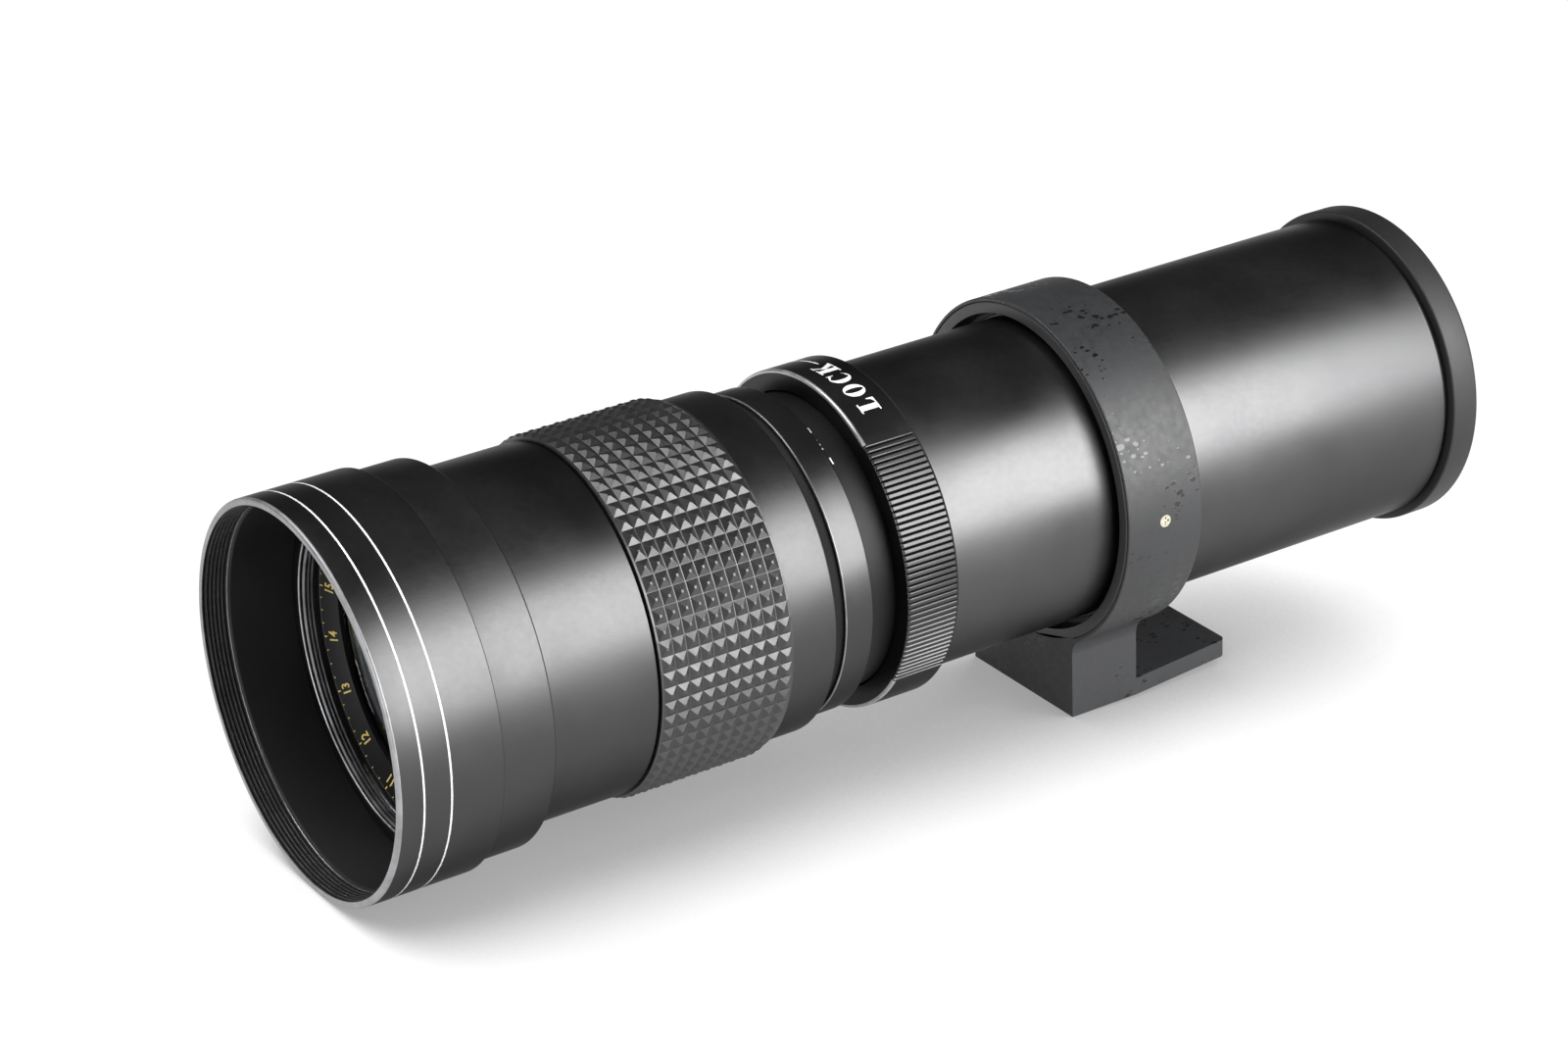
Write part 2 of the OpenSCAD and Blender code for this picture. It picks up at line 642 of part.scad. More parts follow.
module rear_cell() {
    tube_r = rear_pocket_r + rear_cell_wall;
    color(black_metal) turned([
        [rear_pocket_r, rear_ring_y], [tube_r, rear_ring_y], [tube_r, rear_cell_flange_y],
        [main_bore_r - fit_gap, rear_cell_flange_y], [main_bore_r - fit_gap, rear_cell_back_y],
        [back_lip_bore_r, rear_cell_back_y], [back_lip_bore_r, rear_cell_back_y - rear_cell_lip],
        [back_pocket_r, rear_cell_back_y - rear_cell_lip], [back_pocket_r, rear_shoulder_y],
        [rear_pocket_r, rear_shoulder_y]]);
}

module rear_front_lens() {
    front_y = rear_front_edge_y + sag(rear_surface_r, rear_glass_r);
    color(glass_tint) lens(front_y, front_lens_t, rear_glass_r, -rear_surface_r, -rear_surface_r);
}

module rear_spacer() {
    color(black_metal) ring(spacer_y, spacer_y + spacer_len, rear_glass_r - spacer_wall, rear_glass_r);
}

module rear_middle_lens() {
    color(glass_tint) lens(middle_lens_y, middle_lens_t, rear_glass_r, rear_surface_r, 0);
}

module rear_back_lens() {
    color(glass_tint) lens(back_lens_y, back_lens_t, back_glass_r, rear_surface_r, rear_surface_r);
}

module rear_cell_ring() {
    color(black_metal) ring(rear_ring_y, rear_ring_y + rear_ring_len, rear_glass_r - spacer_wall,
                            rear_glass_r);
}

// Tripod collar: ring, block and foot plate in one casting
module tripod_collar() {
    half_w = foot_w / 2;
    fillet_x = half_w + foot_fillet_r;
    fillet_z = -sqrt(pow(collar_r + foot_fillet_r, 2) - pow(fillet_x, 2));
    touch_share = collar_r / (collar_r + foot_fillet_r);
    color(collar_gray) difference() {
        union() {
            ring(collar_front_y, collar_back_y, bearing_r, collar_r, wide_bevel);
            translate([-half_w, collar_front_y, foot_z]) cube([foot_w, block_len, block_top_z - foot_z]);
            for (side = [-1, 1]) difference() {
                rotate([-90, 0, 0]) translate([0, 0, collar_front_y]) linear_extrude(height = block_len)
                    polygon([[0, -block_top_z], [0, -fillet_z], [side * fillet_x, -fillet_z],
                             [side * fillet_x * touch_share, -fillet_z * touch_share]]);
                translate([side * fillet_x, 0, fillet_z])
                    rod(collar_front_y - over, block_back_y + over, foot_fillet_r);
            }
            foot_plate();
        }
        rod(collar_front_y - over, collar_back_y + over, collar_bore_r);
        for (angle = screw_angles) at_angle(angle) translate([0, collar_mid_y, 0])
            cylinder(h = collar_r + over, r = screw_r + fit_gap);
        translate([0, bush_y, foot_z - over])
            cylinder(h = tripod_thread_len + fit_gap + over, r = bush_r + fit_gap);
    }
}

// Foot plate: as wide as the block in front, tapering to a rounded rear end
module foot_plate() {
    half_w = foot_w / 2;
    end_w = plate_end_w / 2;
    corner_x = end_w - plate_corner_r;
    corner_y = plate_back_y - plate_corner_r;
    translate([0, 0, foot_z]) linear_extrude(height = plate_t)
        polygon(concat(
            [[-half_w, collar_front_y], [half_w, collar_front_y], [half_w, block_back_y]],
            arc(corner_x, corner_y, plate_corner_r, 0, 90, 8),
            arc(-corner_x, corner_y, plate_corner_r, 90, 180, 8),
            [[-half_w, block_back_y]]));
}

module collar_bushing() {
    color(black_metal) difference() {
        turned([
            [mouth_r, collar_front_y], [bushing_r - wide_bevel, collar_front_y],
            [bushing_r, collar_front_y + wide_bevel], [bushing_r, collar_back_y],
            [bearing_r, collar_back_y],
            [bearing_r, bushing_lip_y], [mouth_r, bushing_lip_y]]);
        for (angle = screw_angles) at_angle(angle) translate([0, collar_mid_y, 0])
            cylinder(h = collar_r + over, r = screw_r + fit_gap);
    }
}

module collar_screws() {
    color(nickel) for (angle = screw_angles) at_angle(angle) translate([0, collar_mid_y, 0]) difference() {
        translate([0, 0, screw_root_r]) cylinder(h = screw_head_r - screw_root_r, r = screw_r);
        for (turn = [0, 90]) rotate([0, 0, turn])
            translate([-screw_r * 0.7, -cross_w / 2, screw_head_r - cross_d])
                cube([screw_r * 1.4, cross_w, cross_d + over]);
    }
}

module tripod_bush() {
    color(steel) translate([0, bush_y, foot_z]) difference() {
        cylinder(h = tripod_thread_len, r = bush_r);
        translate([0, 0, -over]) cylinder(h = tripod_thread_len + 2 * over, r = tripod_thread_r);
    }
}

hood_shell();
hood_base_ring();
hood_line_inlays();
hood_felt();
front_barrel();
name_ring();
front_cell();
crown_lens();
flint_lens();
front_cell_ring();
front_baffle();
focus_sleeve();
focus_grip();
draw_tube();
index_ring();
focus_retaining_ring();
guide_key();
draw_slide_ring();
draw_baffles();
lock_ring();
main_tube();
lock_collet();
stop_sleeve();
rear_flange();
camera_mount_ring();
rear_cell();
rear_front_lens();
rear_spacer();
rear_middle_lens();
rear_back_lens();
rear_cell_ring();
tripod_collar();
collar_bushing();
collar_screws();
tripod_bush();
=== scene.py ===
"""Looks of the super telephoto lens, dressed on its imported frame.

Metres. The optical axis is Y: the camera seat is at y = 0, the front looks along -Y and up is +Z.
Turned pieces are closed outlines of (radius, y, fillet in mm) corners, spun about the axis.
Angles round the axis count from the top (+Z) towards +X. Named angles are in degrees.
"""

import math

import bmesh
import bpy
import numpy as np
from mathutils import Matrix, Vector


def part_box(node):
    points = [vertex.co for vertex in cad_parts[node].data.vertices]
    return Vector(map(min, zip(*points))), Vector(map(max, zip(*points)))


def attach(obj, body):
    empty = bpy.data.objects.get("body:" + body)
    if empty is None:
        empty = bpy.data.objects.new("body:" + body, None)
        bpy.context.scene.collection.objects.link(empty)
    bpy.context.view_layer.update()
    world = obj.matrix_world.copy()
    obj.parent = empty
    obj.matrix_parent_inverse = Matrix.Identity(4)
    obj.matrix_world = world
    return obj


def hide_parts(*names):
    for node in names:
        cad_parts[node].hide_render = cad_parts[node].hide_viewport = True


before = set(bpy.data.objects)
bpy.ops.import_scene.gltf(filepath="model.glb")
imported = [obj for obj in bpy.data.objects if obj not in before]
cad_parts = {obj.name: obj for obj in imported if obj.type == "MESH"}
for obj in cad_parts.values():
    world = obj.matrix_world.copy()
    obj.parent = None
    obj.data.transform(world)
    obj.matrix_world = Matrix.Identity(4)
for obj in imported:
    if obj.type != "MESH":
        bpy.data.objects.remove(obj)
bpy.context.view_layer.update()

MM = 0.001
SEGMENTS = 288
ROD_SIDES = 64
SMOOTH_ANGLE = 32
MERGE_DIST = 0.0005 * MM
CLEARANCE = 0.05 * MM
RUNNING_GAP = 0.08 * MM
FACE_GAP = 0.3 * MM
OVERRUN = 1 * MM


# Frame measures

def front(node):
    """y of a node's front end."""
    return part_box(node)[0].y


def back(node):
    """y of a node's camera end."""
    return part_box(node)[1].y


def centre_y(node):
    """y of a node's middle."""
    return (front(node) + back(node)) / 2


def radius(node):
    """Outer radius of a turned node."""
    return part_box(node)[1].x


def measures(node):
    """Outer radius, front end and camera end of a turned node."""
    return radius(node), front(node), back(node)


# Outlines and points

FILLET_ONLY = 1
STRETCH_SLOTS = {2: 2, 3: 1, 4: 3}
FILLET_REACH_SHARE = 0.48


def rounded(corners, steps=4):
    """Closed outline from corners (r, y), (r, y, fillet) or (r, y, fillet, mark), fillets in mm.
    Returns points and slots. Mark 1 gives the fillet alone the second material. Marks 3, 2 and 4
    give the fillet and the stretch behind it the second, third and fourth material."""
    points = []
    slots = []
    count = len(corners)
    for i, corner in enumerate(corners):
        r, y, fillet, mark = (*corner, 0, 0)[:4]
        stretch = STRETCH_SLOTS.get(mark, 0)
        here = Vector((r, y))
        if not fillet:
            points.append((r, y))
            slots.append(stretch)
            continue
        before = Vector(corners[i - 1][:2]) - here
        after = Vector(corners[(i + 1) % count][:2]) - here
        reach = min(fillet * MM, before.length * FILLET_REACH_SHARE, after.length * FILLET_REACH_SHARE)
        start = here + before.normalized() * reach
        end = here + after.normalized() * reach
        for k in range(steps + 1):
            t = k / steps
            spot = start * (1 - t) ** 2 + here * 2 * t * (1 - t) + end * t ** 2
            points.append((spot.x, spot.y))
            slots.append(1 if mark == FILLET_ONLY and k < steps else stretch)
    return points, slots


def arc_points(cx, cy, rx, ry, start, end, count):
    """Points of an ellipse's arc, angles in degrees."""
    spots = []
    for i in range(count + 1):
        a = math.radians(start + (end - start) * i / count)
        spots.append((cx + rx * math.cos(a), cy + ry * math.sin(a)))
    return spots


def box_corners(left, right, low, high):
    """Corners of a rectangle."""
    return (left, low), (right, low), (right, high), (left, high)


def stations(count):
    """Angles of a full turn, in radians."""
    return [2 * math.pi * i / count for i in range(count)]


def on_axis(r, y, angle):
    """Point at a radius and an angle (radians) round the optical axis."""
    return (r * math.sin(angle), y, r * math.cos(angle))


# Mesh building

def add_object(name, data):
    """New object in the scene."""
    obj = bpy.data.objects.new(name, data)
    bpy.context.scene.collection.objects.link(obj)
    return obj


def add_mesh(name, points, faces):
    """New mesh object in the scene."""
    mesh = bpy.data.meshes.new(name)
    mesh.from_pydata(points, [], faces)
    return add_object(name, mesh)


def lattice(rows, count, wrap=True, ring=True):
    """Faces between rows of count points. wrap joins the last row to the first, ring closes each row."""
    faces = []
    for i in range(rows if wrap else rows - 1):
        here = i * count
        ahead = (i + 1) % rows * count
        for j in range(count if ring else count - 1):
            k = (j + 1) % count
            faces.append((here + j, here + k, ahead + k, ahead + j))
    return faces


def finish_mesh(obj, smooth=True):
    """Merges doubled points, points the faces outwards and shades by angle."""
    work = bmesh.new()
    work.from_mesh(obj.data)
    bmesh.ops.remove_doubles(work, verts=work.verts, dist=MERGE_DIST)
    bmesh.ops.recalc_face_normals(work, faces=work.faces)
    work.to_mesh(obj.data)
    work.free()
    if smooth:
        obj.data.shade_smooth()
        obj.data.set_sharp_from_angle(angle=math.radians(SMOOTH_ANGLE))
    else:
        obj.data.shade_flat()


def evaluated_mesh(obj):
    """Mesh of an object as its modifiers or its lettering make it."""
    bpy.context.view_layer.update()
    return bpy.data.meshes.new_from_object(obj.evaluated_get(bpy.context.evaluated_depsgraph_get()))


def cut_with(obj, cutter, operation="DIFFERENCE"):
    """Applies a boolean with another object, which is then removed."""
    change = obj.modifiers.new("cut", "BOOLEAN")
    change.operation = operation
    change.solver = "EXACT"
    change.object = cutter
    shape = evaluated_mesh(obj)
    obj.modifiers.remove(change)
    obj.data = shape
    bpy.data.objects.remove(cutter)


def soften(obj, width, segments, angle):
    """Rounds the edges that turn by more than an angle in degrees."""
    change = obj.modifiers.new("soft_edges", "BEVEL")
    change.width = width
    change.segments = segments
    change.limit_method = "ANGLE"
    change.angle_limit = math.radians(angle)


def make_piece(name, points, faces, body, materials, marks=None, smooth=True):
    """Mesh object that rides on a body. marks gives each face its material's place in materials."""
    obj = add_mesh(name, points, faces)
    for material in materials:
        obj.data.materials.append(material)
    if marks is not None:
        obj.data.polygons.foreach_set("material_index", np.array(marks, dtype=np.int32))
    finish_mesh(obj, smooth)
    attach(obj, body)
    return obj


def spun(name, corners, body, materials, ring=True, radius_at=None, angles=stations(SEGMENTS),
         dull_at=None, place=on_axis):
    """Outline spun about an axis. ring is False where the outline ends on the axis.
    radius_at(r, angle) may change a point's radius, and angles lists the spin's stations.
    dull_at(angle) is true where the second material is left out. place turns (r, y, angle) into
    a point."""
    outline, slots = rounded(corners)
    if not ring:
        slots.pop()
    points = []
    marks = []
    for angle in angles:
        for r, y in outline:
            points.append(place(radius_at(r, angle) if radius_at else r, y, angle))
        dull = dull_at is not None and dull_at(angle)
        marks += [0 if dull and mark == 1 else mark for mark in slots]
    faces = lattice(len(angles), len(outline), ring=ring)
    return make_piece(name, points, faces, body, materials, marks)


RIDGE_HALF_SHARE = 0.42
RIDGE_FLAT_SHARE = 0.25
RIDGE_LEAST_SHARE = 0.05


def thread_ridge(name, root_r, rise_r, crest_r, start, turns, pitch, body, material,
                 per_turn=96, fade=16, flat_share=RIDGE_FLAT_SHARE, place=on_axis):
    """Thread ridge along a helix. Its root is buried at root_r, and its crest rises from rise_r to
    crest_r over fade stations at both ends."""
    steps = int(turns * per_turn)
    half_base = pitch * RIDGE_HALF_SHARE
    flat = half_base * flat_share
    points = []
    for i in range(steps + 1):
        angle = 2 * math.pi * i / per_turn
        along = start + pitch * i / per_turn
        share = max(RIDGE_LEAST_SHARE, min(1, i / fade, (steps - i) / fade))
        crest = rise_r + (crest_r - rise_r) * share
        for r, shift in ((root_r, -half_base), (crest, -flat), (crest, flat), (root_r, half_base)):
            points.append(place(r, along + shift, angle))
    last = 4 * steps
    faces = [*lattice(steps + 1, 4, wrap=False), (0, 1, 2, 3), tuple(range(last, last + 4))]
    return make_piece(name, points, faces, body, [material])


def prism(name, outline, low, high, place=lambda x, y, z: (x, y, z)):
    """Closed prism between two levels. place(a, b, level) turns a point of the outline into the model's."""
    points = [place(a, b, level) for level in (low, high) for a, b in outline]
    count = len(outline)
    faces = [tuple(range(count)), tuple(range(count, 2 * count)), *lattice(2, count, wrap=False)]
    obj = add_mesh(name, points, faces)
    finish_mesh(obj)
    return obj


def rod(name, r, low, high, place):
    """Cylinder, as a prism on a round outline."""
    return prism(name, arc_points(0, 0, r, r, 0, 360, ROD_SIDES)[:-1], low, high, place)


# Printing

BOLDNESS_SHARE = 0.02


def write(name, words, size, body, material, place):
    """Plain number as a thin printed mesh. place(u, v) gives the surface point of a drawing point."""
    curve = bpy.data.curves.new(name, "FONT")
    curve.body = words
    curve.size = size
    curve.align_x = "CENTER"
    curve.align_y = "CENTER"
    curve.resolution_u = 4
    curve.offset = size * BOLDNESS_SHARE
    drawing = add_object(name + "_drawing", curve)
    mesh = evaluated_mesh(drawing)
    bpy.data.objects.remove(drawing)
    points = [place(v.co.x, v.co.y) for v in mesh.vertices]
    faces = [tuple(p.vertices) for p in mesh.polygons]
    return make_piece(name, points, faces, body, [material])


def print_quads(name, points, body, material):
    """Printed dashes as one piece, four points to each dash."""
    faces = [tuple(range(i, i + 4)) for i in range(0, len(points), 4)]
    return make_piece(name, points, faces, body, [material])


# Materials

RANGE_SOCKETS = ("From Min", "From Max", "To Min", "To Max")
NOISE_MIDDLE = (0.3, 0.7)


class Nodes:
    """Node tree of a material or a world, with helpers for its nodes and links."""

    def __init__(self, data):
        data.use_nodes = True
        self.tree = data.node_tree

    def node(self, kind, **settings):
        """New node with its settings."""
        made = self.tree.nodes.new(kind)
        for key, value in settings.items():
            setattr(made, key, value)
        return made

    def link(self, output, node, socket):
        """Links an output to a node's socket."""
        self.tree.links.new(output, node.inputs[socket])

    def remap(self, value, low, high, to_low, to_high, smooth=False):
        """Maps low..high to to_low..to_high, clamped."""
        node = self.node("ShaderNodeMapRange")
        if smooth:
            node.interpolation_type = "SMOOTHSTEP"
        self.link(value, node, "Value")
        for socket, number in zip(RANGE_SOCKETS, (low, high, to_low, to_high)):
            node.inputs[socket].default_value = number
        return node.outputs["Result"]

    def math(self, operation, first, second):
        """Result of a maths node on two values or outputs."""
        node = self.node("ShaderNodeMath", operation=operation)
        for i, value in enumerate((first, second)):
            if isinstance(value, (int, float)):
                node.inputs[i].default_value = value
            else:
                self.link(value, node, i)
        return node.outputs[0]


class Shader(Nodes):
    """Principled material with helpers for its noise, bump and masks. Patterns follow the object."""

    def __init__(self, name, color, roughness, metallic=0.0, ior=1.5, specular=0.5):
        self.material = bpy.data.materials.new(name)
        super().__init__(self.material)
        self.shader = self.tree.nodes["Principled BSDF"]
        self.set("Base Color", (*color, 1))
        self.set("Roughness", roughness)
        self.set("Metallic", metallic)
        self.set("IOR", ior)
        self.set("Specular IOR Level", specular)
        self.place = self.node("ShaderNodeTexCoord").outputs["Object"]

    def set(self, socket, value):
        """Sets a constant on the shader's own socket."""
        self.shader.inputs[socket].default_value = value

    def drive(self, socket, output):
        """Drives a shader socket from an output."""
        self.link(output, self.shader, socket)

    def stretched(self, scale):
        """Object coordinates in metres times a scale for each axis."""
        mapping = self.node("ShaderNodeMapping")
        self.link(self.place, mapping, "Vector")
        mapping.inputs["Scale"].default_value = scale
        return mapping.outputs["Vector"]

    def noise(self, scale, detail=2.0, roughness=0.5, stretch=None):
        """Noise whose grains are about 1 / scale metres across."""
        texture = self.node("ShaderNodeTexNoise")
        self.link(self.stretched(stretch) if stretch else self.place, texture, "Vector")
        for socket, number in (("Scale", scale), ("Detail", detail), ("Roughness", roughness)):
            texture.inputs[socket].default_value = number
        return texture.outputs["Fac"]

    def turned_lines(self, scale):
        """Fine lines round the axis, as a turning tool leaves them."""
        return self.noise(1.0, detail=3.0, roughness=0.6, stretch=(6, scale, 6))

    def mix(self, factor, first, second):
        """Colour between two colours or outputs."""
        node = self.node("ShaderNodeMix", data_type="RGBA")
        self.link(factor, node, "Factor")
        sockets = [s for s in node.inputs if s.type == "RGBA"]
        for socket, value in zip(sockets, (first, second)):
            if isinstance(value, tuple):
                socket.default_value = (*value, 1)
            else:
                self.tree.links.new(value, socket)
        return [s for s in node.outputs if s.type == "RGBA"][0]

    def tone(self, value, low, high, first, second):
        """Base colour that runs from the first colour to the second as a value runs from low to high."""
        self.drive("Base Color", self.mix(self.remap(value, low, high, 0, 1), first, second))

    def gloss(self, value, least, most):
        """Roughness that runs from least to most over the middle of a noise."""
        self.drive("Roughness", self.remap(value, *NOISE_MIDDLE, least, most))

    def bump(self, height, strength, distance, under=None):
        """Adds a bump, distance in metres, over another bump where given."""
        node = self.node("ShaderNodeBump")
        node.inputs["Strength"].default_value = strength
        node.inputs["Distance"].default_value = distance
        self.link(height, node, "Height")
        if under is not None:
            self.link(under, node, "Normal")
        self.drive("Normal", node.outputs["Normal"])
        return node.outputs["Normal"]


EDGE_SHINE = 0.45
FLECK = 0.08


def black_finish(s, level, roughness, uneven, lines, cloudy):
    """Cloudy tone, uneven gloss, turning lines and a fine grain on a black shader."""
    cloud = s.noise(45, detail=3)
    light = (level * (1 + uneven), level * (1 + uneven), level * (1.02 + uneven))
    s.tone(cloud, *NOISE_MIDDLE, (level * (1 - uneven),) * 3, light)
    fleck = s.noise(900, detail=2)
    gloss = s.math("ADD", s.remap(cloud, *NOISE_MIDDLE, 0, cloudy), s.math("MULTIPLY", fleck, FLECK))
    s.drive("Roughness", s.math("ADD", gloss, roughness - cloudy / 2 - FLECK / 2))
    under = s.bump(s.turned_lines(5200), lines, 0.04 * MM)
    s.bump(s.noise(2600, detail=2), 0.16, 0.05 * MM, under)
    return s.material


def black_paint(name, level, roughness, specular=0.5, lines=0.2, cloudy=0.12):
    """Black paint or coating."""
    s = Shader(name, (level,) * 3, roughness, specular=specular)
    return black_finish(s, level, roughness, 0.3, lines, cloudy)


def black_anodised(name, shine, roughness, lines=0.2, cloudy=0.12):
    """Black anodised metal that reflects the share shine, and little more at a grazing angle."""
    s = Shader(name, (shine,) * 3, roughness, metallic=1.0)
    s.set("Specular Tint", (EDGE_SHINE, EDGE_SHINE, EDGE_SHINE, 1))
    return black_finish(s, shine, roughness, 0.06, lines, cloudy)


def painted_glint_metal(name, color, roughness):
    """Bright bare metal for turned edges, crests and threads: a painted highlight that stands in for the
    glints along them, with random wear in its tone.
    """
    s = Shader(name, color, roughness, metallic=0.85)
    wear = s.noise(260, detail=4, roughness=0.65)
    s.tone(wear, 0.35, 0.65, tuple(c * 0.8 for c in color), tuple(min(1, c * 1.15) for c in color))
    s.gloss(wear, roughness - 0.08, roughness + 0.1)
    s.bump(s.turned_lines(9000), 0.2, 0.03 * MM)
    return s.material


def rubber():
    """Moulded rubber with a dusty bloom and a fine moulded grain."""
    s = Shader("grip_rubber", (0.009, 0.009, 0.009), 0.4, specular=0.9)
    cloud = s.noise(70, detail=3)
    s.drive("Base Color", s.mix(cloud, (0.005, 0.005, 0.0053), (0.013, 0.013, 0.0137)))
    s.gloss(s.noise(380, detail=3), 0.32, 0.46)
    under = s.bump(s.noise(1500, detail=3), 0.25, 0.08 * MM)
    s.bump(s.noise(5200, detail=2), 0.2, 0.04 * MM, under)
    return s.material


def speckled_paint():
    """Gray satin enamel of the tripod collar, with small dark specks that gather in clouds."""
    s = Shader("collar_enamel", (0.017, 0.018, 0.0195), 0.55, specular=0.7)
    cells = s.node("ShaderNodeTexVoronoi", feature="F1")
    s.link(s.stretched((1, 0.7, 1.1)), cells, "Vector")
    cells.inputs["Scale"].default_value = 900
    cells.inputs["Randomness"].default_value = 1.0
    parts = s.node("ShaderNodeSeparateColor")
    s.link(cells.outputs["Color"], parts, "Color")
    ragged = s.remap(s.noise(2600, detail=2), *NOISE_MIDDLE, -0.07, 0.07)
    cloud = s.remap(s.noise(85, detail=2), 0.38, 0.66, 0.0, 0.66)
    size = s.math("MULTIPLY", s.math("POWER", parts.outputs["Red"], 1.6), cloud)
    edge = s.math("SUBTRACT", s.math("ADD", size, ragged), cells.outputs["Distance"])
    speck = s.remap(edge, -0.05, 0.05, 0.0, 1.0, smooth=True)
    cloudy = s.mix(s.noise(90, detail=3), (0.012, 0.0125, 0.0135), (0.022, 0.023, 0.025))
    s.drive("Base Color", s.mix(speck, cloudy, (0.006, 0.006, 0.0065)))
    matt = s.remap(s.noise(700, detail=2), *NOISE_MIDDLE, 0.47, 0.58)
    s.drive("Roughness", s.math("SUBTRACT", matt, s.math("MULTIPLY", speck, 0.30)))
    under = s.bump(s.noise(2600, detail=2), 0.3, 0.06 * MM)
    s.bump(speck, 0.35, 0.05 * MM, under)
    return s.material


def metal(name, color, roughness, lines=7000):
    """Plain turned metal with tool lines and a little tarnish."""
    s = Shader(name, color, roughness, metallic=1.0)
    tarnish = s.noise(220, detail=4, roughness=0.6)
    s.tone(tarnish, 0.35, 0.7, color, tuple(c * 0.72 for c in color))
    s.gloss(tarnish, roughness - 0.06, roughness + 0.12)
    s.bump(s.turned_lines(lines), 0.25, 0.03 * MM)
    return s.material


def paint_fill(name, color, roughness):
    """Enamel that fills an engraved line or prints a mark."""
    s = Shader(name, color, roughness)
    chips = s.noise(1400, detail=3)
    s.tone(chips, 0.4, 0.75, color, tuple(c * 0.82 for c in color))
    s.gloss(chips, roughness - 0.08, roughness + 0.1)
    s.bump(chips, 0.15, 0.03 * MM)
    return s.material


def flat_black():
    """Dead black coating inside the barrel; on the index ring's groove and the lock ring's rear chamfer it
    is painted shade.
    """
    s = Shader("flat_black", (0.009, 0.009, 0.0095), 0.8, specular=0.25)
    s.drive("Base Color", s.mix(s.noise(300, detail=3), (0.005, 0.005, 0.0055), (0.013, 0.013, 0.0135)))
    s.bump(s.noise(3000, detail=3), 0.4, 0.08 * MM)
    return s.material


def felt():
    """Black felt with short fibres."""
    s = Shader("black_felt", (0.02, 0.02, 0.02), 0.95)
    s.set("Sheen Weight", 0.4)
    fibres = s.noise(2200, detail=5, roughness=0.7)
    s.drive("Base Color", s.mix(fibres, (0.01, 0.01, 0.01), (0.035, 0.035, 0.035)))
    s.bump(fibres, 0.8, 0.2 * MM)
    return s.material


def coated_glass(name, tint, film_nm):
    """Optical glass with a thin coating that colours its reflections."""
    s = Shader(name, tint, 0.012, ior=1.52)
    s.set("Transmission Weight", 1.0)
    s.set("Thin Film Thickness", film_nm)
    s.set("Thin Film IOR", 1.38)
    s.drive("Roughness", s.remap(s.noise(60, detail=2), 0.4, 0.7, 0.008, 0.016))
    return s.material


barrel_black = black_anodised("barrel_black", 0.081, 0.37)
tube_black = black_anodised("tube_black", 0.098, 0.36)
anodised_black = black_anodised("anodised_black", 0.078, 0.34, lines=0.35)
# Draw tube black, darker and duller than its real finish: painted shade for the neck between the index and
# lock rings.
neck_black_and_painted_shade = black_paint("neck_black_and_painted_shade", 0.006, 0.5, specular=0.28, lines=0.1, cloudy=0.06)
bushing_black = black_paint("bushing_black", 0.02, 0.5, specular=0.9)
flange_black = black_paint("flange_black", 0.008, 0.54, specular=0.6)
face_black = black_paint("face_black", 0.006, 0.4, specular=0.3, cloudy=0.05)
inner_black = black_paint("inner_black", 0.02, 0.42, specular=0.9)
# Painted highlights: bright metal on edges, crests and threads stands in for the glints along them.
bright_painted_glint = painted_glint_metal("bright_painted_glint", (0.52, 0.52, 0.53), 0.34)
dim_painted_glint = painted_glint_metal("dim_painted_glint", (0.27, 0.27, 0.28), 0.38)
hood_painted_glint = painted_glint_metal("hood_painted_glint", (0.36, 0.36, 0.37), 0.45)
grip_rubber = rubber()
collar_enamel = speckled_paint()
white_enamel = paint_fill("white_enamel", (0.93, 0.93, 0.92), 0.42)
gold_enamel = paint_fill("gold_enamel", (0.9, 0.7, 0.2), 0.38)
dead_black_and_painted_shade = flat_black()
matt_inside = black_paint("matt_inside", 0.009, 0.62, specular=0.45)
black_felt = felt()
front_glass = coated_glass("front_glass", (0.93, 0.97, 0.96), 120)
inner_glass = coated_glass("inner_glass", (0.90, 0.96, 0.94), 130)
turned_metal = metal("turned_metal", (0.68, 0.68, 0.70), 0.3)
turned_brass = metal("turned_brass", (0.66, 0.48, 0.2), 0.3)
nickel_metal = metal("nickel_metal", (0.80, 0.76, 0.62), 0.3, lines=3000)
mount_black = black_anodised("mount_black", 0.14, 0.3, lines=0.5)


# Hood

HOOD_WALL = 1.4 * MM
HOOD_BORE_STEP = 0.45 * MM
HOOD_BASE_WALL = 2.57 * MM
HOOD_JOINT_R = (33.89 * MM, 34.84 * MM)
RIM_LIP = 0.45 * MM
RIM_RIDGES = 6
RIM_RIDGE_PITCH = 0.78 * MM
RIM_RIDGE_DEPTH = 0.3 * MM
RIM_RIDGE_SHARES = (0.76, 0.5, 0.3, 0.2)
RIM_RUNOUT_SHARE = 0.3
LINE_DEPTH = 0.25 * MM
LINE_W = 0.4 * MM
LINE_PROUD = 0.01 * MM


def rim_ridges(bore_r, start_y):
    """Corners of the light-trap ridges inside the hood's rim, from the back one to the front one."""
    corners = []
    root_r = bore_r + RIM_RIDGE_DEPTH
    for i in reversed(range(RIM_RIDGES)):
        crest_back, crest_front, root_back, root_front = (
            start_y + (i + share) * RIM_RIDGE_PITCH for share in RIM_RIDGE_SHARES)
        # Each crest takes the bright metal, a painted highlight; the slopes and roots take the matt black.
        corners += [(bore_r, crest_back, 0.05, 4), (bore_r, crest_front, 0.05, 2),
                    (root_r, root_back, 0, 2), (root_r, root_front, 0, 2)]
    return corners


